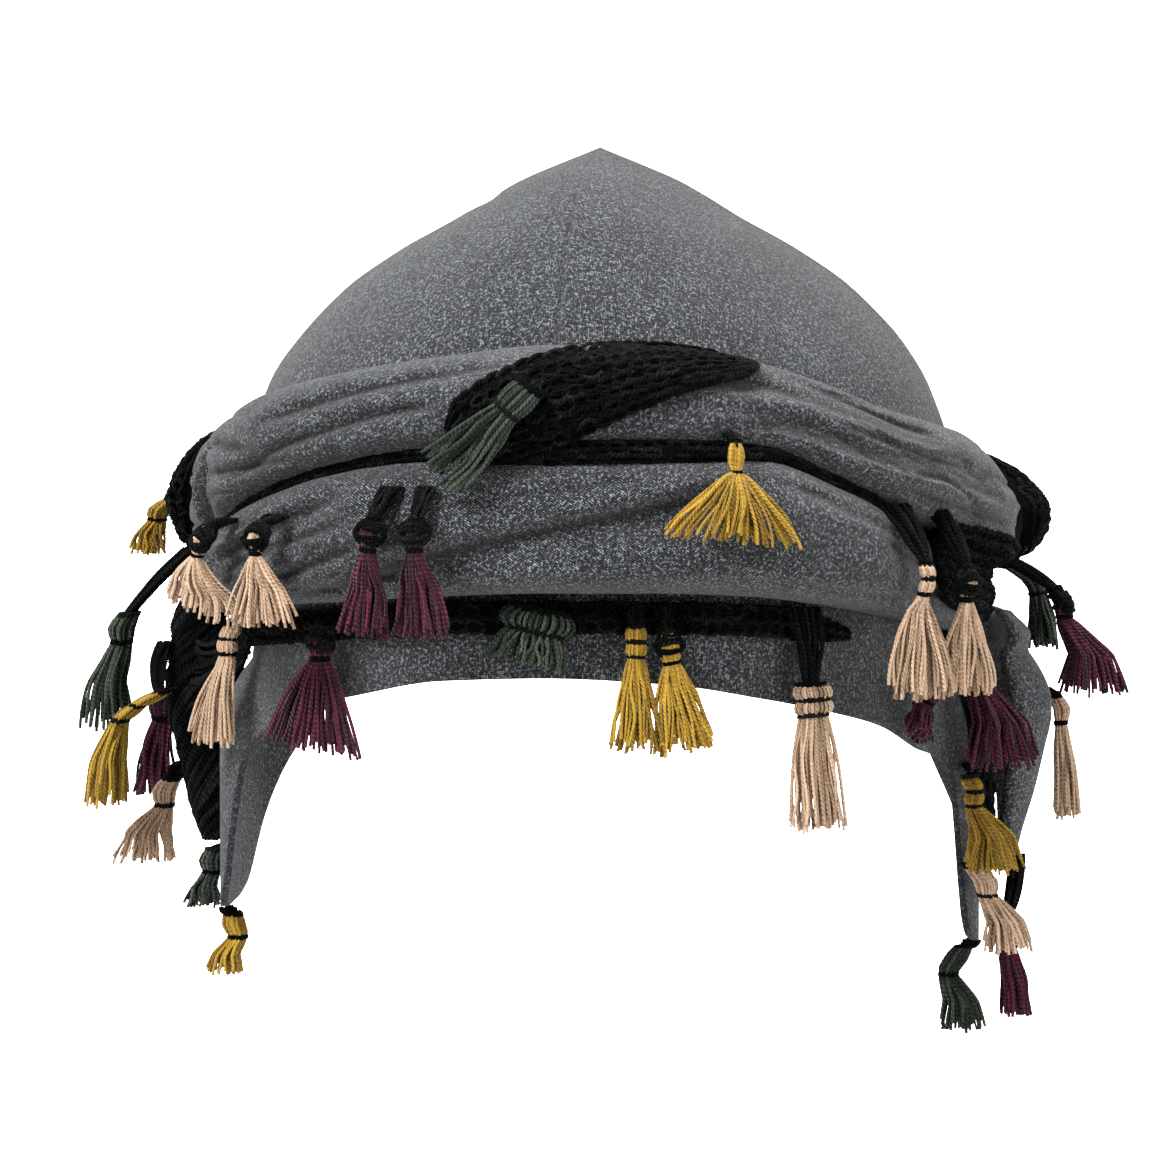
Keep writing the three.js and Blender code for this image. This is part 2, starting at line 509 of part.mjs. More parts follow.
// How far a roll stands out from the cap at a height, grown all round by a margin.
function rollBulge(roll, angle, z, margin) {
  const { low, high, bulge } = rollLimits(roll, angle);
  const off = (z - (low + high) / 2) / ((high - low) / 2 + margin);
  if (Math.abs(off) > 1) return 0;
  const slope = roll === 'upper' ? valueAt(WRAP, 'at', 'slope', wrapAngle(angle)) : 0;
  const round = (1 - Math.abs(off) ** ROLL_FULLNESS) ** (1 / ROLL_FULLNESS);
  return (bulge + margin) * round * (1 - SLOPE_LOSS * slope * Math.max(0, off));
}

function rollSection(roll, angle) {
  const { low, high } = rollLimits(roll, angle);
  const points = [];
  for (let i = 0; i <= ROLL_ARC_STEPS; i += 1) {
    const across = (1 + Math.cos((Math.PI * i) / ROLL_ARC_STEPS)) / 2;
    const z = low + (high - low) * across;
    const out = rollBulge(roll, angle, z, 0) * (1 - foldDepth(roll, angle, across));
    points.push(pointAt(angle, capRadius(angle, z) + CLOTH_CLEARANCE + out, z));
  }
  for (let i = 1; i < ROLL_BACK_STEPS; i += 1) {
    const z = low + ((high - low) * i) / ROLL_BACK_STEPS;
    points.push(pointAt(angle, capRadius(angle, z) + CLOTH_CLEARANCE, z));
  }
  return points;
}

function makeRoll(roll) {
  const rings = [];
  for (let i = 0; i < RING_STATIONS; i += 1) rings.push(rollSection(roll, (360 * i) / RING_STATIONS));
  return bodyFromRings(rings, 'loop');
}

// The groove between the rolls: how deep the trim sits in it and how wide it is at a distance from the cap.
function grooveDepths(angle) {
  const shallow = Math.min(wrapLine('upper', angle), wrapLine('lower', angle));
  return { deep: 0.6 * shallow, lip: 0.8 * shallow, crest: 0.9 * shallow };
}

function grooveOpening(roll, angle, out) {
  const { low, high, bulge } = rollLimits(roll, angle);
  const share = Math.min(1, out / bulge);
  return ((high - low) / 2) * (1 - (1 - share ** ROLL_FULLNESS) ** (1 / ROLL_FULLNESS));
}

// The outside of the cap, the rolls and the trim in their groove, with a margin all round.
function clothRadius(angle, z, margin) {
  const cap = capRadius(angle, z);
  let out = margin;
  for (const roll of ['upper', 'lower']) {
    const bulge = rollBulge(roll, angle, z, margin);
    if (bulge > 0) out = Math.max(out, CLOTH_CLEARANCE + bulge);
  }
  const { lip, crest } = grooveDepths(angle);
  const side = z > wrapLine('split', angle) ? 'upper' : 'lower';
  const offSplit = Math.abs(z - wrapLine('split', angle));
  if (offSplit < grooveOpening(side, angle, lip) + margin) out = Math.max(out, CLOTH_CLEARANCE + crest + margin);
  return cap + out;
}

// The wrap's free end
function makeWrapEnd() {
  const rings = WRAP_END.map((row) => {
    const z = riseToHeight(row.rise);
    const side = (lift) => {
      const points = [];
      for (let i = 0; i <= WRAP_END_COLUMNS; i += 1) {
        const share = i / WRAP_END_COLUMNS;
        const angle = row.from + (row.to - row.from) * share;
        const pleat = WRAP_END_PLEAT * Math.sin(share * Math.PI * 3);
        const swing = row.near + (1 - row.near) * Math.sin((Math.PI / 2) * Math.min(1, share / WRAP_END_SWING));
        const out = WRAP_END_CLEARANCE + UPPER_BULGE * row.out * swing;
        const radius = capRadius(angle, z) + out + Math.max(0, pleat) + lift;
        points.push(pointAt(angle, radius, z));
      }
      return points;
    };
    return [...side(WRAP_END_THICKNESS), ...side(0).reverse()];
  });
  return bodyFromRings(rings, 'strip');
}

// Trim
function grooveSection(angle) {
  const split = wrapLine('split', angle);
  const { deep, lip, crest } = grooveDepths(angle);
  const up = (out) => split + grooveOpening('upper', angle, out) - ROLL_GAP / 2;
  const down = (out) => split - grooveOpening('lower', angle, out) + ROLL_GAP / 2;
  const section = [[deep, up(deep)], [deep, down(deep)], [lip, down(lip)], [crest, split], [lip, up(lip)]];
  return section.map(([out, z]) => pointAt(angle, capRadius(angle, z) + CLOTH_CLEARANCE + out, z));
}

function makeGrooveTrim() {
  const rings = [];
  for (let i = 0; i < RING_STATIONS; i += 1) rings.push(grooveSection((360 * i) / RING_STATIONS));
  return bodyFromRings(rings, 'loop');
}

function riseToHeight(rise) {
  return rise >= 0 ? rise * WRAP_TOP : rise * FLAP_DROP;
}

// The place on a route at a share of its length.
function routePlace(route, share) {
  const rows = route.map((row, i) => ({ ...row, i }));
  const place = {};
  for (const column of Object.keys(route[0])) {
    place[column] = valueAt(rows, 'i', column, share * (route.length - 1));
  }
  place.z = riseToHeight(place.rise);
  return place;
}

// A band of trim laid over the cloth along a route, square across it and as thick as the crochet.
function makeBand(route, width, thickness, stations) {
  const rings = [];
  for (let n = 0; n <= stations; n += 1) {
    const here = routePlace(route, n / stations);
    const before = routePlace(route, Math.max(0, n - 0.5) / stations);
    const after = routePlace(route, Math.min(stations, n + 0.5) / stations);
    const degree = clothRadius(here.at, here.z, 0) * RADIANS;
    const along = new THREE.Vector2((after.at - before.at) * degree, after.z - before.z).normalize();
    const ring = [];
    const edge = (share, lift) => {
      const angle = here.at + (along.y * share * width * here.wide) / degree;
      const z = here.z - along.x * share * width * here.wide;
      ring.push(pointAt(angle, clothRadius(angle, z, TRIM_CLEARANCE) + here.off * TAIL_WIDTH + lift, z));
    };
    const shares = Array.from({ length: TRIM_COLUMNS }, (_, i) => i / (TRIM_COLUMNS - 1) - 0.5);
    for (const share of shares) edge(share, 0);
    const swell = thickness * (0.5 + 0.5 * Math.sin((Math.PI * n) / stations));
    for (const share of shares.reverse()) edge(share, swell);
    rings.push(ring);
  }
  return bodyFromRings(rings, 'strip');
}

function makeLeftTail() {
  const rings = [];
  const count = 8;
  for (let n = 0; n <= BAND_STATIONS.tail; n += 1) {
    const here = routePlace(LEFT_TAIL_ROUTE, n / BAND_STATIONS.tail);
    const degree = CAP_HALF_WIDTH * RADIANS;
    const radius = clothRadius(here.at, Math.min(here.z, 0), 0) + (here.off + here.deep) * TAIL_WIDTH;
    const ring = [];
    for (let j = 0; j < count; j += 1) {
      const turn = (2 * Math.PI * j) / count;
      const angle = here.at + (here.wide * TAIL_WIDTH * Math.cos(turn)) / degree;
      ring.push(pointAt(angle, radius + here.deep * TAIL_WIDTH * Math.sin(turn), here.z));
    }
    rings.push(ring);
  }
  return bodyFromRings(rings, 'fan');
}

// Tassels
// The radius of the outermost cloth or trim at an angle and a height.
function outerRadius(angle, z) {
  const away = pointAt(angle, 3 * CAP_BACK, z);
  const inward = pointAt(angle, -1, 0);
  const hits = new THREE.Raycaster(away, inward).intersectObjects(carriers);
  return hits.length > 0 ? away.setZ(0).length() - hits[0].distance : 0;
}

function hangsUnderHem(angle, z) {
  return z < hemHeight(angle) + TASSEL_SEAT;
}

// Where a tassel's neck is sewn on: a ring that rests on what carries it, or lies under the hem's edge.
function neckSeat(row, count) {
  const angle = row.at + row.aside;
  const z = riseToHeight(row.rise) + row.above * NECK_LENGTH;
  const underHem = hangsUnderHem(angle, z);
  const degrees = NECK_RADIUS / (clothRadius(angle, z, 0) * RADIANS);
  const heights = [z, z - NECK_RADIUS / 3];
  const places = [-1, 0, 1].flatMap((side) => heights.map((height) => outerRadius(angle + side * degrees, height)));
  const onCloth = Math.max(...places) + TASSEL_SEAT;
  const radius = underHem ? capRadius(angle, z) - JERSEY_WALL / 2 - NECK_RADIUS * 0.8 : onCloth;
  const ring = [];
  for (let j = 0; j < count; j += 1) {
    const turn = (2 * Math.PI * j) / count;
    ring.push(pointAt(angle + degrees * Math.cos(turn), radius + NECK_RADIUS * 0.8 * (1 + Math.sin(turn)), z));
  }
  return ring;
}

// A tassel's stations down its length: how far down as a share of the neck or of the skirt, how wide and how
// thick. The skirt's ring is lobed, a lobe for each lock, and its locks end at different lengths.
function makeTassel(row) {
  const startZ = riseToHeight(row.rise);
  const neck = NECK_LENGTH * row.neck;
  const length = TASSEL_LENGTH * row.length;
  const spread = TASSEL_HALF_SPREAD * row.spread;
  const depth = TASSEL_HALF_DEPTH * row.deep;
  const head = Math.min(2 * HEAD_RADIUS, length * 0.4);
  const stations = [
    { down: neck, wide: NECK_RADIUS, thick: NECK_RADIUS * 0.8, lobe: 0 },
    { down: neck + head * 0.45, wide: HEAD_RADIUS, thick: HEAD_RADIUS * 0.8, lobe: 0 },
    { down: neck + head, wide: HEAD_RADIUS * 0.8, thick: HEAD_RADIUS * 0.66, lobe: 0.1 },
    { down: neck + (head + length) / 2, wide: spread * 0.76, thick: depth * 0.9, lobe: 0.26 },
    { down: neck + length, wide: spread, thick: depth, lobe: 0.3 },
  ];
  const lean = row.lean * RADIANS;
  const lift = HEAD_RADIUS * row.lift;
  const standOff = HEAD_RADIUS * row.out;
  const count = 2 * TASSEL_LOBES;
  const millimetresPerDegree = clothRadius(row.at, startZ, 0) * RADIANS;
  const hangRadius = clothRadius(row.at, startZ, 0) + TRIM_THICKNESS + TASSEL_SEAT + lift;
  const rings = stations.map((station, index) => {
    const last = index === stations.length - 1;
    const ease = Math.min(1, station.down / (neck + head));
    const ring = [];
    for (let j = 0; j < count; j += 1) {
      const turn = (2 * Math.PI * j) / count;
      const isLobe = j % 2 === 0;
      const reach = isLobe ? 1 : 1 - station.lobe;
      const side = station.wide * Math.cos(turn) * reach;
      const bulge = station.thick * Math.sin(turn) * reach;
      const ragged = last ? (isLobe ? (j % 4 === 0 ? 1.0 : 0.95) : 0.86) : 1;
      const down = station.down * ragged;
      const aside = Math.sin(lean) * down + Math.cos(lean) * side;
      const z = startZ - Math.cos(lean) * down + Math.sin(lean) * side;
      const angle = row.at + aside / millimetresPerDegree;
      const free = hangRadius + station.thick + standOff * Math.sin((ease * Math.PI) / 2);
      const underHem = hangsUnderHem(angle, z) && hangsUnderHem(row.at, startZ);
      const cloth = underHem ? 0 : clothRadius(angle, z, TASSEL_CLEARANCE) + TRIM_THICKNESS + bulge;
      const draped = cloth + station.thick + standOff * ease;
      ring.push(pointAt(angle, Math.max(free, draped) + bulge, z));
    }
    return ring;
  });
  return bodyFromRings([neckSeat(row, count), ...rings], 'fan');
}

addPiece('cap', 'jersey', makeCap());
addPiece('wrap_upper', 'jersey', makeRoll('upper'));
addPiece('wrap_lower', 'jersey', makeRoll('lower'));
addPiece('trim_groove', 'crochet', makeGrooveTrim());
addPiece('wrap_end', 'jersey', makeWrapEnd());
addPiece('trim_front', 'crochet', makeBand(FRONT_TRIM_ROUTE, TRIM_WIDTH, TRIM_THICKNESS, BAND_STATIONS.front));
addPiece('trim_brow', 'crochet', makeBand(BROW_TRIM_ROUTE, BROW_TRIM_WIDTH, TRIM_THICKNESS, BAND_STATIONS.brow));
for (const [side, route] of [['left', LEFT_SIDE_ROUTE], ['right', RIGHT_SIDE_ROUTE]]) {
  const band = makeBand(route, TRIM_WIDTH, SIDE_TRIM_THICKNESS, BAND_STATIONS.side);
  addPiece(`trim_side_${side}`, 'crochet', band);
}
addPiece('trim_band_right', 'crochet', makeBand(RIGHT_BAND_ROUTE, TRIM_WIDTH, TRIM_THICKNESS, BAND_STATIONS.right));
addPiece('trim_tail_right', 'crochet', makeBand(RIGHT_TAIL_ROUTE, TAIL_WIDTH, TRIM_THICKNESS, BAND_STATIONS.tail));
addPiece('trim_tail_left', 'crochet', makeLeftTail());
const carriers = durag.children.slice();
for (const row of TASSELS) addPiece(`tassel_${row.name}`, row.colour, makeTassel(row));

export default durag;
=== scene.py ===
import bmesh
import bpy
import numpy as np
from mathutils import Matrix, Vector, noise


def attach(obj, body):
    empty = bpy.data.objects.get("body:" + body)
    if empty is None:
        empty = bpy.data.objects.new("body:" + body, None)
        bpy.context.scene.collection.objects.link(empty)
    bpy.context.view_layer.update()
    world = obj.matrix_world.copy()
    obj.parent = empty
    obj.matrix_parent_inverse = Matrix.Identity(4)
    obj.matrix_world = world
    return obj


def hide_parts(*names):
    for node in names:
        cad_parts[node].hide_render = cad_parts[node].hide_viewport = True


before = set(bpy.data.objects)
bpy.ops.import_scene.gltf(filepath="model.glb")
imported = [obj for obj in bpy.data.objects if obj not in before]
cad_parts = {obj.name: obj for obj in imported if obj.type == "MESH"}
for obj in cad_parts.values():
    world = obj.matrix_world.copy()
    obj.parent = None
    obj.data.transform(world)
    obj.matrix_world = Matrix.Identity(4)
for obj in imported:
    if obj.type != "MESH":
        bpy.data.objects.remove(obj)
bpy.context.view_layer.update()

# The skull cap: two panels of melange cotton jersey joined by a seam over the middle of the head, gathered
# to a point at the crown, with an arched brow hem and a tapering flap over each ear.
CAP_HALF_WIDTH = 84
CAP_FRONT = 98
CAP_BACK = 100
CROWN_HEIGHT = 121
FLAP_DROP = 69
FLAP_FLARE = 9
FLARE_HEIGHT = 20
JERSEY_WALL = 1.6
SEAM_DEPTH = 1.0
SEAM_GROOVE = 0.45
NOTCH_X = -27
NOTCH_Z = 108.5
NOTCH_DEPTH = 1.3
CROWN = {
    "height": [0, 0.2, 0.38, 0.53, 0.63, 0.73, 0.8, 0.86, 0.905, 0.94, 0.972, 1],
    "width": [0.976, 1, 1, 0.937, 0.845, 0.706, 0.56, 0.405, 0.3, 0.206, 0.098, 0],
    "front": [0.99, 1, 0.985, 0.952, 0.896, 0.795, 0.704, 0.603, 0.49, 0.364, 0.2, 0],
    "back": [0.97, 1, 1, 0.97, 0.92, 0.83, 0.74, 0.635, 0.52, 0.39, 0.22, 0],
    "power": [2.1, 2.1, 2.1, 2.05, 2, 1.95, 1.9, 1.8, 1.75, 1.7, 1.6, 1.6],
}
HEM = {
    "at": [-180, -155, -140, -126, -115, -107, -100, -94, -86, -78, -73, -69, -65, -59, -45,
          -30, -15, 0, 15, 30, 45, 56, 68, 77, 81, 83, 85, 88, 94, 100, 108, 118, 128, 141,
          155, 180],
    "drop": [0.17, 0.17, 0.17, 0.22, 0.4, 0.66, 0.84, 0.88, 0.89, 0.87, 0.78, 0.56, 0.34, 0.25,
            0.145, 0.074, 0.014, 0, 0.02, 0.078, 0.145, 0.2, 0.29, 0.34, 0.44, 0.66, 0.88,
            0.97, 1, 0.98, 0.74, 0.44, 0.24, 0.17, 0.17, 0.17],
    "flare": [0, 0, 0, 0.2, 0.6, 1, 1, 1, 1, 0.95, 0.85, 0.7, 0.45, 0.15, 0, 0, 0, 0, 0, 0, 0, 0,
             0.1, 0.35, 0.55, 0.65, 0.75, 0.85, 1, 1, 1, 0.5, 0.2, 0, 0, 0],
}


def smooth(table, key, column, place):
    """A table's column at places on its key, on a curve that never overshoots the table."""
    xs = np.array(table[key], float)
    ys = np.array(table[column], float)
    secant = np.diff(ys) / np.diff(xs)
    slope = np.concatenate(([secant[0]], np.zeros(len(xs) - 2), [secant[-1]]))
    before, after = secant[:-1], secant[1:]
    level = before * after <= 0
    slope[1:-1] = np.where(level, 0, 2 * before * after / np.where(level, 1, before + after))
    place = np.clip(place, xs[0], xs[-1])
    i = np.clip(np.searchsorted(xs, place, side="right") - 1, 0, len(xs) - 2)
    span = xs[i + 1] - xs[i]
    t = (place - xs[i]) / span
    start = (2 * t**3 - 3 * t**2 + 1) * ys[i] + (t**3 - 2 * t**2 + t) * span * slope[i]
    return start + (3 * t**2 - 2 * t**3) * ys[i + 1] + (t**3 - t**2) * span * slope[i + 1]


def turned(angle):
    """An angle brought to between -180 and 180."""
    return (np.asarray(angle, float) + 180) % 360 - 180


def at(angle, radius, z):
    """Points at angles, radii and heights."""
    angle, radius, z = np.broadcast_arrays(np.radians(angle), radius, z)
    return np.stack((radius * np.sin(angle), -radius * np.cos(angle), z), axis=-1).astype(float)


def cap_radius(angle, z):
    """The outside of the cap, without its seam."""
    angle = np.asarray(angle, float)
    height = np.clip(np.asarray(z, float) / CROWN_HEIGHT, 0, 1)
    half_width = np.maximum(CAP_HALF_WIDTH * smooth(CROWN, "height", "width", height), 1e-6)
    ahead = np.cos(np.radians(angle))
    front = CAP_FRONT * smooth(CROWN, "height", "front", height)
    back = CAP_BACK * smooth(CROWN, "height", "back", height)
    half_length = np.maximum(np.where(ahead > 0, front, back), 1e-6)
    power = smooth(CROWN, "height", "power", height)
    across = np.abs(np.sin(np.radians(angle))) / half_width
    along = np.abs(ahead) / half_length
    below = np.clip(-np.asarray(z, float) / FLARE_HEIGHT, 0, 1)
    flare = FLAP_FLARE * smooth(HEM, "at", "flare", turned(angle)) * below * (2 - below)
    return (across**power + along**power) ** (-1 / power) + flare


def hem_height(angle):
    """The cap's hem at an angle."""
    return -FLAP_DROP * smooth(HEM, "at", "drop", turned(angle))


def soft_noise(points, size, seed):
    """Smooth noise from -1 to 1 at points, with lumps of about a size."""
    flat = points.reshape(-1, 3) / size + seed * 17.3
    return np.array([noise.noise(p) for p in flat.tolist()]).reshape(points.shape[:-1])


def lengths(points, axis):
    """How far along a grid of points each one lies, from the first."""
    steps = np.linalg.norm(np.diff(points, axis=axis), axis=-1)
    first = np.zeros_like(np.take(steps, [0], axis=axis))
    return np.concatenate((first, np.cumsum(steps, axis=axis)), axis=axis)


def placed(name, data):
    """A new object in the scene."""
    piece = bpy.data.objects.new(name, data)
    bpy.context.scene.collection.objects.link(piece)
    return piece


def cloth_piece(name, points, uv, round_rows=False, pole=None, flat_ends=False):
    """A mesh in metres from a grid of points. Its columns close up. Its rows close too, or end at a pole, or
    in flat ends across a section that is one side and then the other. uv is in millimetres on the cloth,
    with a column more than points, and a row more where the rows close."""
    rows, columns = points.shape[:2]
    row_steps = rows if round_rows else rows - 1
    i, j = np.meshgrid(np.arange(row_steps), np.arange(columns), indexing="ij")
    corners = [(i, j), (i, j + 1), (i + 1, j + 1), (i + 1, j)]
    faces = np.stack([(a % rows) * columns + b % columns for a, b in corners], axis=-1).reshape(-1, 4)
    face_uv = np.stack([uv[a, b] for a, b in corners], axis=2).reshape(-1, 2)
    vertices = points.reshape(-1, 3)
    polygons = faces.tolist()
    if pole is not None:
        vertices = np.vstack((vertices, pole))
        last = (rows - 1) * columns
        polygons += [[last + k, last + (k + 1) % columns, rows * columns] for k in range(columns)]
        tip = uv[-1, :-1].copy()
        tip[:, 1] += np.linalg.norm(points[-1] - pole, axis=-1)
        face_uv = np.vstack((face_uv, np.stack((uv[-1, :-1], uv[-1, 1:], tip), axis=1).reshape(-1, 2)))
    if flat_ends:
        k = np.arange(columns // 2 - 1)
        strip = np.stack((k, k + 1, columns - 2 - k, columns - 1 - k), axis=-1)
        for row, end in ((0, strip[:, ::-1]), (rows - 1, strip)):
            polygons += (end + row * columns).tolist()
            face_uv = np.vstack((face_uv, uv[row, end.ravel()]))
    mesh = bpy.data.meshes.new(name)
    mesh.from_pydata((vertices / 1000).tolist(), [], polygons)
    mesh.uv_layers.new(name="cloth").data.foreach_set("uv", (face_uv / 1000).ravel())
    mesh.polygons.foreach_set("use_smooth", [True] * len(mesh.polygons))
    mesh.update()
    return placed(name, mesh)


def linear(hex_colour):
    """An sRGB hex colour as linear red, green, blue and alpha."""
    values = [int(hex_colour[i:i + 2], 16) / 255 for i in (1, 3, 5)]
    return (*[v / 12.92 if v <= 0.04045 else ((v + 0.055) / 1.055) ** 2.4 for v in values], 1.0)


def add(tree, kind, inputs=(), stops=(), **settings):
    """Adds a node with its settings, and its inputs as values, nodes or sockets."""
    node = tree.nodes.new(kind)
    for name, value in settings.items():
        setattr(node, name, value)
    for key, value in dict(inputs).items():
        if isinstance(value, (bpy.types.Node, bpy.types.NodeSocket)):
            source = value.outputs[0] if isinstance(value, bpy.types.Node) else value
            tree.links.new(source, node.inputs[key])
        else:
            node.inputs[key].default_value = value
    for n, (place, colour) in enumerate(stops):
        elements = node.color_ramp.elements
        stop = elements[n] if n < len(elements) else elements.new(place)
        stop.position = place
        stop.color = linear(colour)
    return node


def new_material(name):
    """A new material with nodes, and its tree."""
    material = bpy.data.materials.new(name)
    material.use_nodes = True
    return material, material.node_tree


def finish_material(tree, colour, bump, roughness, shine, sheen=0.0, sheen_roughness=0.5):
    """Gives a material's surface its colour, relief and shine."""
    shader = tree.nodes["Principled BSDF"]
    tree.links.new(colour.outputs[0], shader.inputs["Base Color"])
    tree.links.new(bump.outputs[0], shader.inputs["Normal"])
    shader.inputs["Roughness"].default_value = roughness
    shader.inputs["Specular IOR Level"].default_value = shine
    shader.inputs["Sheen Weight"].default_value = sheen
    shader.inputs["Sheen Roughness"].default_value = sheen_roughness


# Melange single jersey: cotton dyed charcoal and spun with paler fibres, so each stitch has a shade of its
# own. The eye sees pale flecks on charcoal in fine columns of V stitches, matt, with painted shade between
# the stitches and painted shade in the folds. A real column is about 0.7 mm wide and a stitch 0.5 mm high,
# and they are drawn at 0.75 and 0.5 mm.
WALE = 0.75
COURSE = 0.5
FLECK_SCALE = 1500
FOLD_SHADE = 0.85
jersey, tree = new_material("melange_cotton_jersey")
cloth = add(tree, "ShaderNodeSeparateXYZ", {0: add(tree, "ShaderNodeUVMap", uv_map="cloth")})
across = add(tree, "ShaderNodeMath", {0: cloth.outputs["X"], 1: 1000 / WALE}, operation="MULTIPLY")
fold = add(tree, "ShaderNodeMath", {0: across, 1: 0.5}, operation="PINGPONG")
leg_turn = add(tree, "ShaderNodeMath", {0: fold, 1: 2 * np.pi}, operation="MULTIPLY")
leg = add(tree, "ShaderNodeMath", {0: leg_turn}, operation="SINE")
slant = add(tree, "ShaderNodeMath", {0: fold, 1: -1.5}, operation="MULTIPLY")
up = add(tree, "ShaderNodeMath", {
    0: cloth.outputs["Y"], 1: 1000 / COURSE, 2: slant}, operation="MULTIPLY_ADD")
rib = add(tree, "ShaderNodeMath", {0: up, 1: 0.5}, operation="PINGPONG")
stitch = add(tree, "ShaderNodeMath", {0: rib, 1: 1.1, 2: 0.5}, operation="MULTIPLY_ADD")
relief = add(tree, "ShaderNodeMath", {0: stitch, 1: leg}, operation="MULTIPLY")
place_on_head = add(tree, "ShaderNodeTexCoord").outputs["Object"]
fibres = add(tree, "ShaderNodeTexNoise", {
    "Vector": place_on_head, "Scale": FLECK_SCALE, "Detail": 2, "Roughness": 0.8})
mottle = add(tree, "ShaderNodeTexNoise", {"Vector": place_on_head, "Scale": 60, "Detail": 3})
shade = add(tree, "ShaderNodeMath", {0: mottle, 1: 0.07, 2: fibres}, operation="MULTIPLY_ADD")
# Painted shade of the stitches: the colour is lighter on their tops and darker between them.
shade = add(tree, "ShaderNodeMath", {0: relief, 1: 0.12, 2: shade}, operation="MULTIPLY_ADD")
melange = add(tree, "ShaderNodeValToRGB", {0: shade}, stops=[
    (0.42, "#090a0b"), (0.5, "#101113"), (0.59, "#212326"), (0.67, "#45484c"), (0.76, "#8b8e93")])
# Painted shade: the colour is darkened between the stitches, and in the wrap's folds and creases by its fold
# attribute.
shadow = add(tree, "ShaderNodeMath", {0: relief, 1: 0.9, 2: 0.35}, operation="MULTIPLY_ADD")
# Painted shade in the folds: the fold attribute darkens the colour by up to FOLD_SHADE.
fold_shade_share = add(tree, "ShaderNodeAttribute", attribute_name="fold").outputs["Fac"]
painted_fold_light = add(tree, "ShaderNodeMath", {0: fold_shade_share, 1: -FOLD_SHADE, 2: 1}, operation="MULTIPLY_ADD")
shadow = add(tree, "ShaderNodeMath", {0: shadow, 1: painted_fold_light}, operation="MULTIPLY")
dimmed = add(tree, "ShaderNodeVectorMath", {0: melange, "Scale": shadow}, operation="SCALE")
knit = add(tree, "ShaderNodeBump", {"Strength": 0.6, "Distance": 0.0003, "Height": relief})
finish_material(tree, dimmed, knit, 0.92, 0.15, 0.12, 0.6)

# The same jersey where it is turned in at an edge: the stitches run over it too steeply to be seen, so the
# eye sees its grey alone, in short flecks.
turned_jersey, tree = new_material("turned_in_cotton_jersey")
place_on_head = add(tree, "ShaderNodeTexCoord").outputs["Object"]
flecks = add(tree, "ShaderNodeTexNoise", {"Vector": place_on_head, "Scale": 1400, "Detail": 2})
melange = add(tree, "ShaderNodeValToRGB", {0: flecks}, stops=[
    (0.35, "#1d1e21"), (0.55, "#33363a"), (0.75, "#5d6065")])
fuzz = add(tree, "ShaderNodeBump", {"Strength": 0.5, "Distance": 0.0002, "Height": flecks})
finish_material(tree, melange, fuzz, 0.92, 0.15)

CAP_COLUMNS = 130
FLAP_ROWS = 16
CROWN_ROWS = 76
seam_offsets = np.array([0, 0.25, 0.5, 0.8, 1.2, 1.8, 2.6])
heights = CROWN_HEIGHT * np.concatenate((
    np.linspace(0.025, 0.8, CROWN_ROWS // 2, endpoint=False), np.linspace(0.8, 0.985, CROWN_ROWS // 2)))
half = []
for z in np.concatenate((np.zeros(FLAP_ROWS), heights)):
    radius = min(cap_radius(0, z), cap_radius(180, z))
    by_seam = np.minimum(np.degrees(seam_offsets / radius), np.arange(len(seam_offsets)) * 3.0)
    between = np.linspace(by_seam[-1], 180 - by_seam[-1], CAP_COLUMNS)[1:-1]
    half.append(np.concatenate((by_seam, between, 180 - by_seam[::-1])))
half = np.array(half)
angles = np.concatenate((half, 360 - half[:, -2:0:-1]), axis=1)
levels = np.repeat(np.concatenate((np.zeros(FLAP_ROWS), heights))[:, None], angles.shape[1], axis=1)
down = np.linspace(1, 0, FLAP_ROWS, endpoint=False)[:, None]
levels[:FLAP_ROWS] = heights[0] + (hem_height(angles[:FLAP_ROWS]) - heights[0]) * down
radii = cap_radius(angles, levels)
off_seam = radii * np.abs(np.sin(np.radians(angles)))
on_crown = np.clip(levels / 40, 0, 1)
groove = SEAM_DEPTH * np.exp(-(off_seam / SEAM_GROOVE) ** 2) - 0.35 * np.exp(-((off_seam - 1.5) / 0.9) ** 2)
rough = at(angles, radii, levels)
pucker = 0.22 * np.sin(levels * 0.8 + 2 * soft_noise(rough, 9, 3)) * np.exp(-off_seam / 5)
slack = 0.55 * soft_noise(rough, 26, 1) + 0.25 * soft_noise(rough, 11, 2)
notch = np.exp(-((rough[..., 0] - NOTCH_X) / 5) ** 2 - ((levels - NOTCH_Z) / 2.2) ** 2)
slack = slack * np.clip((levels - 8) / 20, 0, 1) * np.clip(radii / 25, 0, 1) - NOTCH_DEPTH * notch
cap_points = at(angles, radii - (groove + pucker) * on_crown + slack, levels)
ring = np.concatenate((cap_points, cap_points[:, :1]), axis=1)
u = lengths(ring, 1)
middle = angles.shape[1] // 2
u = np.where(np.arange(ring.shape[1]) <= middle, u, u - u[:, -1:])
v = lengths(cap_points, 0)
v = np.concatenate((v, v[:, :1]), axis=1) + levels[0, 0]
cap = cloth_piece("cap_jersey", cap_points, np.stack((u, v), axis=-1), pole=(0, 0, CROWN_HEIGHT))
cap.data.materials.append(jersey)
cap.data.materials.append(turned_jersey)
wall = cap.modifiers.new("wall", "SOLIDIFY")
wall.thickness = JERSEY_WALL / 1000
wall.offset = -1
wall.material_offset_rim = 1
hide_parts("cap")
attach(cap, "root")

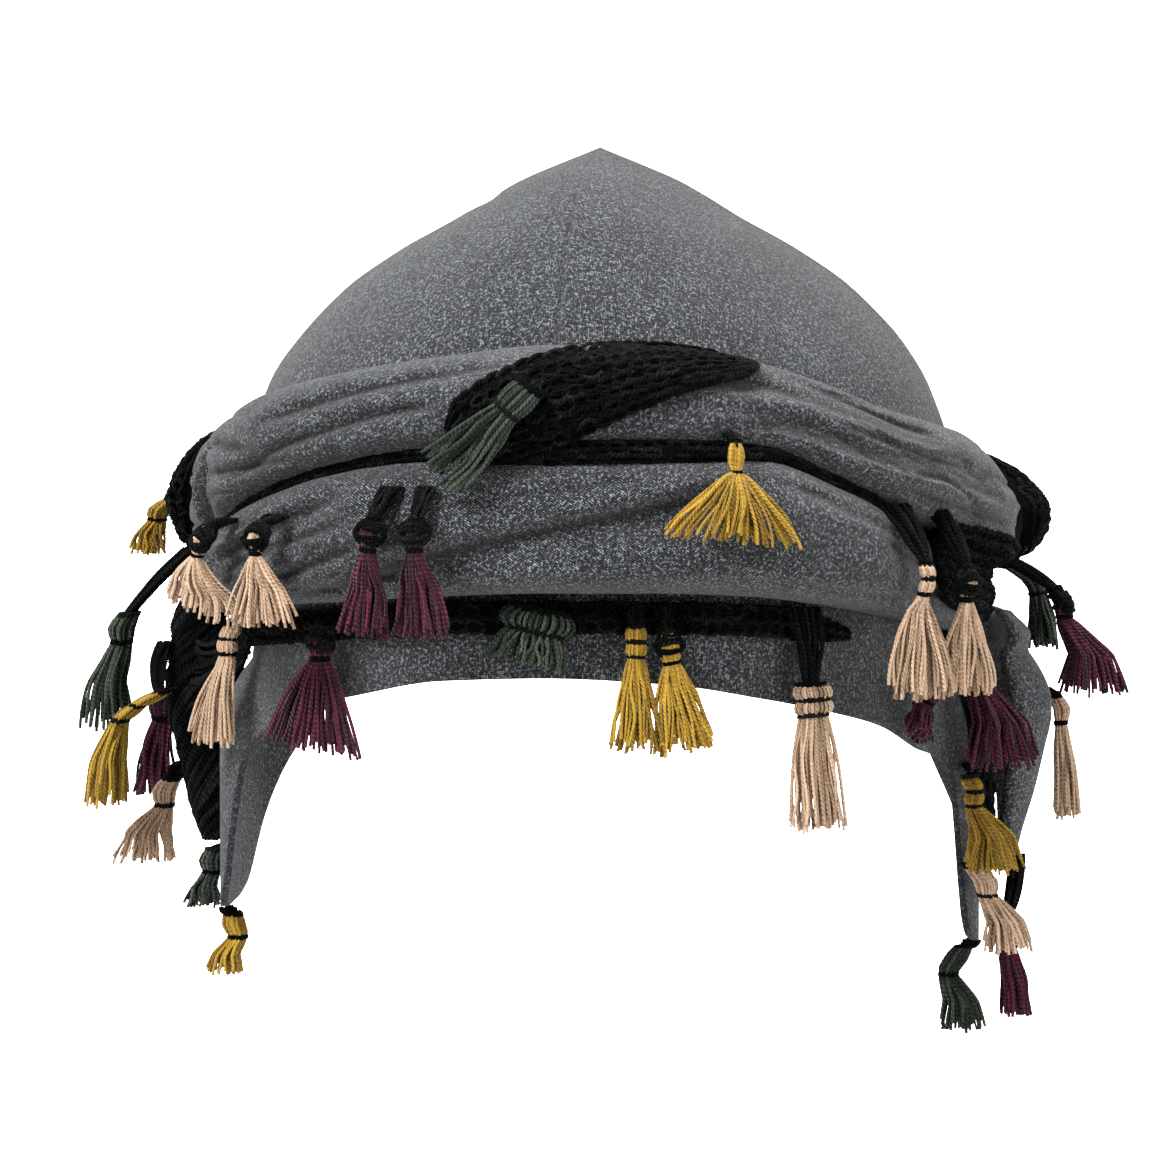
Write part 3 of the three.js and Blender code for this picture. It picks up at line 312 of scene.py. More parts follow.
# The wrap: the tails of the durag, wound twice round the head and twisted together over the brow. Each
# turn is soft rolled jersey, full over the brow and flat at the sides, creased where it is pulled tight.
WRAP_TOP = 75
WRAP_SPLIT = 51
WRAP_FOOT = 19.5
UPPER_BULGE = 22
LOWER_BULGE = 25
ROLL_GAP = 0.5
CLOTH_CLEARANCE = 0.6
SLOPE_LOSS = 0.5
ROLL_FULLNESS = 3
WRAP_SIZES = {
    "top": WRAP_TOP, "split": WRAP_SPLIT, "foot": WRAP_FOOT, "upper": UPPER_BULGE, "lower": LOWER_BULGE,
}
WRAP = {
    "at": [-180, -150, -122, -98, -80, -62, -46, -30, -14, 0, 12, 25, 37, 51, 66, 82, 100,
          124, 150, 180],
    "top": [0.54, 0.57, 0.65, 0.72, 0.76, 0.79, 0.86, 0.92, 0.97, 1, 0.995, 0.965, 0.9, 0.81,
           0.76, 0.72, 0.66, 0.6, 0.56, 0.54],
    "split": [0.36, 0.36, 0.36, 0.37, 0.42, 0.58, 0.74, 0.9, 0.99, 1, 1.01, 1, 0.86, 0.69, 0.54,
             0.42, 0.37, 0.36, 0.36, 0.36],
    "foot": [0.06, 0.06, 0.16, 0.3, 0.46, 0.62, 0.74, 0.84, 0.95, 1, 1, 0.95, 0.82, 0.64, 0.46,
            0.3, 0.16, 0.1, 0.06, 0.06],
    "upper": [0.8, 0.8, 0.76, 0.72, 0.6, 0.62, 0.84, 0.95, 1, 1, 1, 0.96, 0.88, 0.8, 0.7, 0.7,
             0.74, 0.76, 0.8, 0.8],
    "lower": [0.6, 0.56, 0.42, 0.32, 0.34, 0.56, 0.8, 0.9, 0.97, 1, 1, 0.96, 0.86, 0.56, 0.34,
             0.3, 0.34, 0.44, 0.56, 0.6],
    "slope": [0.6, 0.7, 0.9, 1, 0.9, 0.4, 0.2, 0.1, 0.1, 0.1, 0.1, 0.2, 0.4, 0.6, 0.9, 1, 1, 0.8,
             0.6, 0.6],
}
# Creases pressed into the turns: the roll, the angles and the heights across it (0 foot, 1 top) where each
# starts and ends, its depth as a share of the roll's bulge, its half width, and 1 or -1 where the cloth
# above or below it laps over the cloth on the other side.
CREASES = [
    ("upper", -8, 27, 0.16, 0.9, 0.2, 0.09, -1),
    ("upper", 18, 60, 0.66, 0.74, 0.17, 0.06, -1),
    ("upper", 22, 78, 0.3, 0.52, 0.2, 0.06, -1),
    ("upper", 33, 62, 0.84, 0.8, 0.12, 0.035, 0),
    ("upper", 36, 68, 0.54, 0.62, 0.12, 0.035, 0),
    ("upper", 44, 84, 0.18, 0.34, 0.13, 0.04, 0),
    ("upper", 20, 48, 0.22, 0.34, 0.09, 0.035, 0),
    ("upper", -66, -55, 0.1, 0.96, 0.42, 0.26, 0),
    ("upper", -60, -38, 0.74, 0.36, 0.14, 0.045, 0),
    ("upper", -56, -30, 0.4, 0.14, 0.12, 0.04, 0),
    ("upper", -46, -10, 0.22, 0.52, 0.15, 0.055, 0),
    ("upper", -40, -4, 0.6, 0.84, 0.13, 0.06, 0),
    ("upper", -128, -72, 0.3, 0.72, 0.2, 0.07, 1),
    ("upper", -110, -66, 0.62, 0.4, 0.12, 0.04, 0),
    ("upper", 96, 150, 0.3, 0.66, 0.2, 0.07, -1),
    ("upper", 104, 140, 0.62, 0.4, 0.12, 0.04, 0),
    ("upper", 158, 232, 0.24, 0.78, 0.22, 0.09, 1),
    ("upper", 168, 214, 0.6, 0.34, 0.12, 0.05, 0),
    ("lower", -26, 23, 0.12, 0.76, 0.24, 0.08, 1),
    ("lower", -50, -22, 0.46, 0.8, 0.2, 0.06, 1),
    ("lower", -47, -20, 0.36, 0.6, 0.12, 0.035, 0),
    ("lower", -42, -18, 0.12, 0.42, 0.14, 0.045, 0),
    ("lower", -36, -14, 0.04, 0.2, 0.12, 0.04, 0),
    ("lower", -14, 14, 0.62, 0.86, 0.07, 0.045, 0),
    ("lower", 24, 50, 0.82, 0.7, 0.08, 0.05, 0),
    ("lower", 40, 66, 0.62, 0.5, 0.12, 0.05, 0),
    ("lower", 46, 66, 0.26, 0.4, 0.12, 0.05, 0),
    ("lower", 140, 206, 0.28, 0.74, 0.2, 0.08, -1),
    ("lower", 150, 190, 0.66, 0.4, 0.12, 0.05, 0),
    ("lower", -120, -78, 0.3, 0.6, 0.16, 0.06, 0),
]
CREASE_END = 6
# How deep the cloth is gathered into folds along each roll, as a share of the roll's bulge.
GATHERS = {
    "at": [-180, -140, -100, -72, -58, -40, -20, 0, 22, 36, 55, 80, 100, 140, 180],
    "upper": [0.09, 0.08, 0.1, 0.13, 0.1, 0.05, 0.03, 0.03, 0.05, 0.1, 0.13, 0.12, 0.1, 0.08, 0.09],
    "lower": [0.08, 0.07, 0.09, 0.13, 0.13, 0.09, 0.05, 0.03, 0.03, 0.05, 0.1, 0.12, 0.1, 0.08, 0.08],
}
ROLL_TWIST = 0.45
ROLL_RADIUS = 108
ROLL_STATIONS = 720
ROLL_FRONT = 60
ROLL_BACK = 6


def wrap_line(column, angle):
    """One of the wrap's lines, or how far a roll stands out, at an angle."""
    return WRAP_SIZES[column] * smooth(WRAP, "at", column, turned(angle))


def roll_limits(roll, angle):
    """A roll's lowest and highest line and how far it stands out."""
    split = wrap_line("split", angle)
    if roll == "upper":
        return split + ROLL_GAP / 2, wrap_line("top", angle), wrap_line("upper", angle)
    return wrap_line("foot", angle), split - ROLL_GAP / 2, wrap_line("lower", angle)


def roll_bulge(roll, angle, z, margin):
    """How far a roll stands out from the cap at a height, grown all round by a margin."""
    low, high, bulge = roll_limits(roll, angle)
    off = (z - (low + high) / 2) / ((high - low) / 2 + margin)
    slope = smooth(WRAP, "at", "slope", turned(angle)) if roll == "upper" else 0
    inside = np.clip(1 - np.abs(off) ** ROLL_FULLNESS, 0, 1)
    return (bulge + margin) * inside ** (1 / ROLL_FULLNESS) * (1 - SLOPE_LOSS * slope * np.maximum(0, off))


def crease_depth(roll, angle, across):
    """The share of its bulge that a roll's creases take away, and the painted shade along their lines."""
    depth = np.zeros(np.broadcast(angle, across).shape)
    painted_crease_shade = depth.copy()
    for own, start, end, low, high, deep, width, lap in CREASES:
        if own != roll:
            continue
        for turn in (-360, 0, 360):
            along = (angle + turn - start) / (end - start)
            inside = np.minimum(angle + turn - start, end - angle - turn) / min(CREASE_END, (end - start) / 4)
            strength = np.clip(inside, 0, 1) * deep
            off = (across - (low + (high - low) * along)) / width
            press = np.exp(-off * off)
            if lap:
                edge = 1 / (1 + np.exp(np.clip(off * lap * 14, -60, 60)))
                press = np.maximum(press * 0.8, edge * np.exp(-off * off / 9))
            else:
                press = 0.7 * press + 0.3 * np.exp(-off * off / 6)
            depth = depth + strength * press
            # Painted shade along the middle of each crease line.
            line = np.exp(-(off * width / max(0.45 * width, 0.022)) ** 2)
            painted_crease_shade = np.maximum(painted_crease_shade, np.minimum(1, 8 * strength) * line)
    return depth, painted_crease_shade


def make_roll(name, roll, seed):
    """A roll of the wrap: creased, gathered and lumpy outside, close to the cap inside."""
    stations = np.arange(ROLL_STATIONS) * 360 / ROLL_STATIONS
    front = (1 + np.cos(np.linspace(0, np.pi, ROLL_FRONT + 1))) / 2
    back = np.linspace(0, 1, ROLL_BACK + 1)[1:-1]
    angle = stations[:, None]
    low, high, _ = roll_limits(roll, angle)
    z_front = low + (high - low) * front
    out = roll_bulge(roll, angle, z_front, 0)
    plain = at(angle, cap_radius(angle, z_front) + out, z_front)
    lumps = 0.05 * soft_noise(plain, 17, seed) + 0.02 * soft_noise(plain, 6, seed + 1)
    drawn = plain * np.array([1, 1, 3.2])
    wander = soft_noise(drawn, 34, seed + 2)
    pull = smooth(GATHERS, "at", roll, turned(angle))
    gathers = 0.028 * soft_noise(drawn, 12, seed + 3)
    for count, twist, share in ((3.2, 0.9, 0.65), (6.5, 1.7, 0.35)):
        wave = count * front + twist * np.sin(np.radians(angle + 40 * share)) + 0.9 * wander
        gathers = gathers + share * pull * (1 - np.abs(np.sin(np.pi * wave))) ** 2.5
    creases, painted_crease_shade = crease_depth(roll, angle, front)
    # Painted shade in the creases and the deep gathers, for the jersey's colour.
    painted_fold_shade = np.clip(np.maximum(painted_crease_shade, 1.5 * creases + 3.2 * np.maximum(0, gathers) - 0.2), 0, 1)
    out = out * (1 - creases - np.maximum(0, lumps + gathers))
    outer = at(angle, cap_radius(angle, z_front) + CLOTH_CLEARANCE + out, z_front)
    z_back = low + (high - low) * back
    inner = at(angle, cap_radius(angle, z_back) + CLOTH_CLEARANCE, z_back)
    points = np.concatenate((outer, inner), axis=1)
    closed = np.concatenate((points, points[:, :1]), axis=1)
    v = np.mean(lengths(closed, 1), axis=0)[None, :] + 0 * closed[..., 0]
    u = np.linspace(0, 2 * np.pi * ROLL_RADIUS, ROLL_STATIONS + 1)[:, None]
    v = np.concatenate((v, v[:1]), axis=0)
    uv = np.stack((v * np.cos(ROLL_TWIST) - u * np.sin(ROLL_TWIST),
                   u * np.cos(ROLL_TWIST) + v * np.sin(ROLL_TWIST)), axis=-1)
    piece = cloth_piece(name, points, uv, round_rows=True)
    # The fold attribute holds the painted shade: outside in the creases and gathers, none inside the roll.
    folds = np.concatenate((painted_fold_shade, 0 * z_back), axis=1).ravel().astype(np.float32)
    piece.data.attributes.new("fold", "FLOAT", "POINT").data.foreach_set("value", folds)
    piece.data.materials.append(jersey)
    return piece


wrap_upper = make_roll("wrap_upper_jersey", "upper", 11)
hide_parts("wrap_upper")
wrap_lower = make_roll("wrap_lower_jersey", "lower", 21)
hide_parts("wrap_lower")
for piece in (wrap_upper, wrap_lower):
    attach(piece, "root")

# The wrap's free end: the last of the jersey tail, tucked under the roll behind the right flap and hanging
# in loose pleats.
WRAP_END = {
    "rise": [0.13, 0.04, -0.12, -0.35, -0.58, -0.76],
    "row": [0, 1, 2, 3, 4, 5],
    "from": [92, 92, 92, 93, 95, 97],
    "to": [124, 123, 122, 118, 112, 108],
    "out": [0.43, 0.72, 0.7, 0.5, 0.3, 0.14],
    "near": [1, 0.8, 0.5, 0.4, 0.4, 0.4],
}
WRAP_END_THICKNESS = 2.6
WRAP_END_PLEAT = 1.2
WRAP_END_CLEARANCE = 2.2
WRAP_END_SWING = 0.4
END_ROWS = 60
END_COLUMNS = 70


def rise_to_height(rise):
    """The height of a rise: a share of the wrap's top above the brow hem, and of the flaps' drop below it."""
    return np.where(np.asarray(rise) >= 0, np.asarray(rise) * WRAP_TOP, np.asarray(rise) * FLAP_DROP)


rows = np.linspace(5, 0, END_ROWS)[:, None]
share = np.linspace(0, 1, END_COLUMNS)[None, :]
z = rise_to_height(smooth(WRAP_END, "row", "rise", rows)) + 0 * share
start = smooth(WRAP_END, "row", "from", rows)
angle = start + (smooth(WRAP_END, "row", "to", rows) - start) * share
flat = at(angle, 100.0, z)
folds = WRAP_END_PLEAT * np.sin(share * np.pi * 3) + 0.5 * soft_noise(flat * np.array([1, 1, 0.35]), 5, 31)
folds = folds + 0.35 * soft_noise(flat, 9, 32)
near = smooth(WRAP_END, "row", "near", rows)
swing = near + (1 - near) * np.sin(np.pi / 2 * np.minimum(1, share / WRAP_END_SWING))
billow = UPPER_BULGE * smooth(WRAP_END, "row", "out", rows) * swing
radius = cap_radius(angle, z) + WRAP_END_CLEARANCE + billow + np.maximum(0, folds)
face = at(angle, radius + WRAP_END_THICKNESS, z)
behind = at(angle[:, ::-1], radius[:, ::-1], z[:, ::-1])
points = np.concatenate((face, behind), axis=1)
closed = np.concatenate((points, points[:, :1]), axis=1)
u = np.mean(lengths(closed, 1), axis=0)[None, :] + 0 * closed[..., 0]
v = np.mean(lengths(closed, 0), axis=1)[:, None] + 0 * closed[..., 0]
wrap_end = cloth_piece("wrap_end_jersey", points, np.stack((u, v), axis=-1), flat_ends=True)
wrap_end.data.materials.append(jersey)
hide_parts("wrap_end")
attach(wrap_end, "root")

# The crocheted trim: black cotton yarn worked in rows of chain stitches along the wrap's edge. It fills the
# groove between the turns, crosses the upper one over the brow and runs down both sides.
TRIM_THICKNESS = 3
SIDE_TRIM_THICKNESS = 7
TRIM_WIDTH = 19
TAIL_WIDTH = 13
BROW_TRIM_WIDTH = 7
TRIM_CLEARANCE = 0.8
YARN_RADIUS = 0.55
FIBRES = 1.8
FIBRE_RADIUS = 0.08
STITCH_LENGTH = 3.2
STITCH_ROW = 2.9
PLY_PITCH = 2.2
GROOVE_SINK = 0.4
GROOVE_CREST_AT = 8
GROOVE_CREST_SPREAD = 22
GROOVE_LENGTH = 660
GROOVE_ROWS = 3
ROUTES = {
    "trim_front": (TRIM_WIDTH, TRIM_THICKNESS, 68, {
        "at": [26.5, 19, 12, 6, 0, -5, -10],
        "rise": [0.945, 0.942, 0.92, 0.885, 0.835, 0.78, 0.715],
        "wide": [0.2, 0.42, 0.7, 0.95, 1.1, 1.0, 0.75]}),
    "trim_brow": (BROW_TRIM_WIDTH, TRIM_THICKNESS, 190, {
        "at": [-74, -58, -42, -24, -6, 12, 28, 44],
        "rise": [0.065, 0.1, 0.128, 0.16, 0.185, 0.185, 0.17, 0.115],
        "wide": [0.8, 1.0, 1.0, 1.0, 1.0, 1.0, 1.0, 0.9]}),
    "trim_side_left": (TRIM_WIDTH, SIDE_TRIM_THICKNESS, 46, {
        "at": [-88, -94, -100, -103, -104],
        "rise": [0.67, 0.58, 0.48, 0.36, 0.25],
        "wide": [0.6, 0.9, 1.1, 1.0, 0.8]}),
    "trim_side_right": (TRIM_WIDTH, SIDE_TRIM_THICKNESS, 30, {
        "at": [113, 108, 103, 99.5],
        "rise": [0.54, 0.5, 0.43, 0.36],
        "wide": [0.7, 1.0, 1.0, 0.9]}),
    "trim_band_right": (TRIM_WIDTH, TRIM_THICKNESS, 62, {
        "at": [55, 66, 78, 90],
        "rise": [0.36, 0.3, 0.26, 0.22],
        "wide": [0.7, 1.0, 1.0, 0.9]}),
    "trim_tail_right": (TAIL_WIDTH, TRIM_THICKNESS, 72, {
        "at": [83, 85.5, 87.5, 89, 91.5],
        "rise": [0.085, -0.05, -0.3, -0.6, -0.84],
        "wide": [0.66, 0.62, 0.6, 0.55, 0.45],
        "off": [0.09, 0.2, 0.08, 0.05, 0.03]}),
}
LEFT_TAIL = {
    "row": [0, 1, 2, 3, 4, 5],
    "at": [-103, -101, -100, -99, -98, -98],
    "rise": [0.232, 0.06, -0.1, -0.35, -0.56, -0.68],
    "wide": [0.4, 0.46, 0.46, 0.44, 0.36, 0.24],
    "deep": [0.36, 0.48, 0.5, 0.48, 0.4, 0.3],
    "off": [0.88, 1.1, 0.73, 0.25, 0.08, 0.05],
}


def cotton_yarn(name, stops, roughness, shine):
    """Plied cotton yarn in one colour: two plies wound round each other, with painted shade in the groove
    between them, each thread a shade of its own. The fibres are too fine to show, and are drawn as short
    streaks along the thread."""
    material, tree = new_material(name)
    around = add(tree, "ShaderNodeSeparateXYZ", {
        0: add(tree, "ShaderNodeAttribute", attribute_name="round").outputs["Vector"]})
    turn = add(tree, "ShaderNodeMath", {0: around.outputs["Y"], 1: around.outputs["X"]}, operation="ARCTAN2")
    along = add(tree, "ShaderNodeAttribute", attribute_name="along").outputs["Fac"]
    wound = add(tree, "ShaderNodeMath", {
        0: along, 1: 2000 * np.pi / PLY_PITCH, 2: turn}, operation="MULTIPLY_ADD")
    doubled = add(tree, "ShaderNodeMath", {0: wound, 1: 2}, operation="MULTIPLY")
    ply = add(tree, "ShaderNodeMath", {0: doubled}, operation="COSINE")
    own = add(tree, "ShaderNodeAttribute", attribute_name="shade").outputs["Fac"]
    here = add(tree, "ShaderNodeTexCoord").outputs["Object"]
    streaks = add(tree, "ShaderNodeTexNoise", {"Vector": here, "Scale": 900, "Detail": 3, "Roughness": 0.7})
    shade = add(tree, "ShaderNodeMath", {0: own, 1: 0.4}, operation="MULTIPLY")
    shade = add(tree, "ShaderNodeMath", {0: streaks, 1: 0.5, 2: shade}, operation="MULTIPLY_ADD")
    # Painted shade: the colour is darker in the groove between the plies.
    shade = add(tree, "ShaderNodeMath", {0: ply, 1: 0.09, 2: shade}, operation="MULTIPLY_ADD")
    colour = add(tree, "ShaderNodeValToRGB", {0: shade}, stops=stops)
    relief = add(tree, "ShaderNodeMath", {0: streaks, 1: 0.5, 2: ply}, operation="MULTIPLY_ADD")
    bump = add(tree, "ShaderNodeBump", {"Strength": 0.7, "Distance": 0.0002, "Height": relief})
    finish_material(tree, colour, bump, roughness, shine, shine / 2, 0.4)
    return material


black_yarn = cotton_yarn("black_cotton_yarn", [
    (0.2, "#030304"), (0.5, "#090a0a"), (0.72, "#1c1d1e"), (0.92, "#404243")], 0.95, 0.03)

# Threads and yarns are swept along their paths by one tree. Each path carries its thickness, its shade and
# whether it is the black binding.
yarn_tree = bpy.data.node_groups.new("yarn_along_its_paths", "GeometryNodeTree")
sockets = {}
for name, kind in (("Paths", "Geometry"), ("Sides", "Int"), ("Yarn", "Material"), ("Binding", "Material")):
    socket = yarn_tree.interface.new_socket(name, in_out="INPUT", socket_type="NodeSocket" + kind)
    sockets[name] = socket.identifier
yarn_tree.interface.new_socket("Yarn", in_out="OUTPUT", socket_type="NodeSocketGeometry")
given = add(yarn_tree, "NodeGroupInput")
lines = add(yarn_tree, "GeometryNodeMeshToCurve", {0: given.outputs["Paths"]})
reach = add(yarn_tree, "GeometryNodeSplineParameter").outputs["Length"]
lines = add(yarn_tree, "GeometryNodeStoreNamedAttribute", {
    "Geometry": lines, "Name": "along", "Value": reach})
section = add(yarn_tree, "GeometryNodeCurvePrimitiveCircle", {
    "Resolution": given.outputs["Sides"], "Radius": 1.0})
section_place = add(yarn_tree, "GeometryNodeInputPosition")
section = add(yarn_tree, "GeometryNodeStoreNamedAttribute", data_type="FLOAT_VECTOR", inputs={
    "Geometry": section.outputs["Curve"], "Name": "round", "Value": section_place})
thick = add(yarn_tree, "GeometryNodeInputNamedAttribute", {"Name": "thick"})
swept = add(yarn_tree, "GeometryNodeCurveToMesh", {
    "Curve": lines, "Profile Curve": section, "Scale": thick, "Fill Caps": True})
swept = add(yarn_tree, "GeometryNodeSetShadeSmooth", {0: swept})
whole = add(yarn_tree, "GeometryNodeRealizeInstances", {0: swept})
is_binding = add(yarn_tree, "GeometryNodeInputNamedAttribute", {"Name": "binding"})
whole = add(yarn_tree, "GeometryNodeSetMaterial", {"Geometry": whole, "Material": given.outputs["Yarn"]})
whole = add(yarn_tree, "GeometryNodeSetMaterial", {
    "Geometry": whole, "Selection": is_binding, "Material": given.outputs["Binding"]})
add(yarn_tree, "NodeGroupOutput", {0: whole})


def sweep_yarn(name, paths, yarn, sides=6):
    """A mesh of yarn along paths, each with its points and radius in millimetres, its shade from 0 to 1, and
    whether it is binding."""
    points = np.concatenate([path[0] for path in paths]) / 1000
    counts = [len(path[0]) for path in paths]
    starts = np.cumsum([0] + counts[:-1])
    edges = np.concatenate([np.arange(s, s + n - 1) for s, n in zip(starts, counts)])
    mesh = bpy.data.meshes.new(name)
    mesh.vertices.add(len(points))
    mesh.vertices.foreach_set("co", points.ravel())
    mesh.edges.add(len(edges))
    mesh.edges.foreach_set("vertices", np.stack((edges, edges + 1), axis=-1).ravel())
    columns = {
        "thick": np.concatenate([np.broadcast_to(path[1], n) for path, n in zip(paths, counts)]) / 1000,
        "shade": np.repeat([path[2] for path in paths], counts),
        "binding": np.repeat([float(path[3]) for path in paths], counts),
    }
    for column, values in columns.items():
        mesh.attributes.new(column, "FLOAT", "POINT").data.foreach_set("value", values.astype(np.float32))
    piece = placed(name, mesh)
    sweep = piece.modifiers.new("sweep", "NODES")
    sweep.node_group = yarn_tree
    sweep[sockets["Sides"]] = sides
    sweep[sockets["Yarn"]] = yarn
    sweep[sockets["Binding"]] = black_yarn
    evaluated = piece.evaluated_get(bpy.context.evaluated_depsgraph_get())
    swept = bpy.data.meshes.new_from_object(evaluated)
    piece.modifiers.remove(sweep)
    piece.data = swept
    return piece


def joined(pieces):
    """Pieces joined into the first of them."""
    with bpy.context.temp_override(active_object=pieces[0], selected_editable_objects=pieces):
        bpy.ops.object.join()
    return pieces[0]


def groove_depths(angle):
    """How far out the trim in the groove stands at its lips and at its crest."""
    shallow = np.minimum(wrap_line("upper", angle), wrap_line("lower", angle))
    return 0.8 * shallow, 0.9 * shallow


def groove_opening(roll, angle, out):
    """How far the groove is open on one roll's side, at a distance out."""
    low, high, bulge = roll_limits(roll, angle)
    share = np.minimum(1, out / bulge)
    return (high - low) / 2 * (1 - (1 - share**ROLL_FULLNESS) ** (1 / ROLL_FULLNESS))


def cloth_radius(angle, z, margin):
    """The outside of the cap, the wrap and the trim in its groove, with a margin all round."""
    out = margin + 0 * (angle + z)
    for roll in ("upper", "lower"):
        bulge = roll_bulge(roll, angle, z, margin)
        out = np.where(bulge > 0, np.maximum(out, CLOTH_CLEARANCE + bulge), out)
    lip, crest = groove_depths(angle)
    split = wrap_line("split", angle)
    opening = np.where(z > split, groove_opening("upper", angle, lip), groove_opening("lower", angle, lip))
    in_groove = np.abs(z - split) < opening + margin
    return cap_radius(angle, z) + np.where(in_groove, np.maximum(out, CLOTH_CLEARANCE + crest + margin), out)


def groove_surface(along, across, lift):
    """The surface of the trim in the groove, which lies deeper away from the brow."""
    angle = along * 360
    split = wrap_line("split", angle)
    lip, crest = groove_depths(angle)
    up = groove_opening("upper", angle, lip)
    down = groove_opening("lower", angle, lip)
    z = split + np.where(across > 0, 2 * across * up, 2 * across * down)
    sunk = GROOVE_SINK * (1 - np.exp(-((turned(angle) - GROOVE_CREST_AT) / GROOVE_CREST_SPREAD) ** 2))
    out = (lip + (crest - lip) * (1 - 2 * np.abs(across))) * (1 - sunk)
    return at(angle, cap_radius(angle, z) + CLOTH_CLEARANCE + out + lift, z)


def band_surface(route, width, thickness):
    """The surface of a band of trim: its point at a share along, a share across and a height off it."""
    steps = len(route["at"]) - 1
    table = {"off": [0] * (steps + 1), **route}
    columns = list(table)
    table["row"] = list(range(steps + 1))

    def surface(along, across, lift):
        here = {column: smooth(table, "row", column, along * steps) for column in columns}
        z = rise_to_height(here["rise"])
        early, late = np.clip(along - 0.02, 0, 1), np.clip(along + 0.02, 0, 1)
        degree = cloth_radius(here["at"], z, 0) * np.radians(1)
        run = degree * (smooth(table, "row", "at", late * steps) - smooth(table, "row", "at", early * steps))
        climb = (rise_to_height(smooth(table, "row", "rise", late * steps))
                 - rise_to_height(smooth(table, "row", "rise", early * steps)))
        length = np.hypot(run, climb)
        ends = np.sqrt(np.clip(np.minimum(along, 1 - along) * 12 + 0.06, 0, 1))
        side = across * width * here["wide"] * ends
        angle = here["at"] + climb / length * side / degree
        z = z - run / length * side
        crown = np.sqrt(np.clip(1 - (2 * np.abs(across)) ** 3, 0, 1))
        swell = (thickness * (0.5 + 0.5 * np.sin(np.pi * along)) - 1) * crown
        out = TRIM_CLEARANCE + here["off"] * TAIL_WIDTH + lift
        return at(angle, cloth_radius(angle, z, 0) + out + np.where(lift >= 0, swell, 0), z)

    return surface


def chain_rows(surface, length, rows, fibres, seed):
    """Rows of chain stitches over a surface: two legs a stitch, that leave one loop and meet in the next.
    Fibres stand off them."""
    random = np.random.default_rng(seed)
    t = np.linspace(0, 1, 6)
    paths = []
    reach = np.linspace(0, 1, 4)
    for _ in range(int(length * rows * fibres)):
        along = np.clip(random.uniform(0, 1) + reach * random.normal(0, 2.5) / length, 0, 1)
        across = np.clip(random.uniform(-0.5, 0.5) + reach * random.normal(0, 0.5) / rows, -0.5, 0.5)
        lift = 0.8 * YARN_RADIUS + random.uniform(0.3, 1.7) * reach**0.7 + random.normal(0, 0.12, 4)
        paths.append((surface(along, across, lift), FIBRE_RADIUS, random.random(), True))
    for row in range(rows):
        count = int(length / STITCH_LENGTH)
        for i in range(count):
            begin = (i + 0.25 * (row % 2) + random.uniform(-0.08, 0.08)) / count
            along = np.clip(begin + t * 1.3 / count, 0, 1)
            for side in (-1, 1):
                spread = side * (0.1 + 0.36 * np.sin(np.pi * t**0.8)) / rows
                across = np.clip((row + 0.5) / rows - 0.5 + spread, -0.5, 0.5)
                across = np.clip(across + random.normal(0, 0.06) / rows, -0.5, 0.5)
                arch = random.uniform(1.0, 2.0) * np.sin(np.pi * t)
                lift = YARN_RADIUS * (0.4 + arch) + random.uniform(-0.15, 0.3)
                thick = YARN_RADIUS * random.uniform(0.8, 1.2)
                paths.append((surface(along, across, lift), thick, random.random(), True))
    return paths


def outward(piece):
    """The piece with all its faces turned outwards."""
    mesh = bmesh.new()
    mesh.from_mesh(piece.data)
    bmesh.ops.remove_doubles(mesh, verts=mesh.verts, dist=1e-6)
    bmesh.ops.recalc_face_normals(mesh, faces=mesh.faces)
    mesh.to_mesh(piece.data)
    mesh.free()
    return piece


def crocheted(node, surface, along, columns, top, low, stitches, closes=False):
    """A band of crochet, with its node: a close-worked middle between two heights, and its stitches. A band
    that closes runs round the head and meets itself."""
    across = np.linspace(-0.5, 0.5, columns)[None, :]
    level = 0 * (along[:, None] + across)
    upper = surface(along[:, None] + level, across + level, top + level)
    lower = surface(along[:, None] + level, across + level, low + level)
    core = cloth_piece(node + "_crochet", np.concatenate((upper, lower[:, ::-1]), axis=1),
                       np.zeros((len(along) + closes, 2 * columns + 1, 2)),
                       round_rows=closes, flat_ends=not closes)
    core.data.materials.append(black_yarn)
    stitches = sweep_yarn(node + "_stitches", stitches, black_yarn, 5)
    return joined([outward(core), stitches]), node


trim_pieces = []
for number, (node, (width, thickness, length, route)) in enumerate(ROUTES.items()):
    surface = band_surface(route, width, thickness)
    rows = max(2, round(width * max(route["wide"]) / STITCH_ROW))
    stitches = chain_rows(surface, length, rows, FIBRES, 40 + number)
    trim_pieces.append(crocheted(node, surface, np.linspace(0, 1, 50), 14, 0.0, -0.3, stitches))
stitches = chain_rows(groove_surface, GROOVE_LENGTH, GROOVE_ROWS, FIBRES / 4, 50)
round_head = np.linspace(0, 1, 361)[:-1]
trim_pieces.append(crocheted(
    "trim_groove", groove_surface, round_head, 7, -0.5, -2.0, stitches, closes=True))

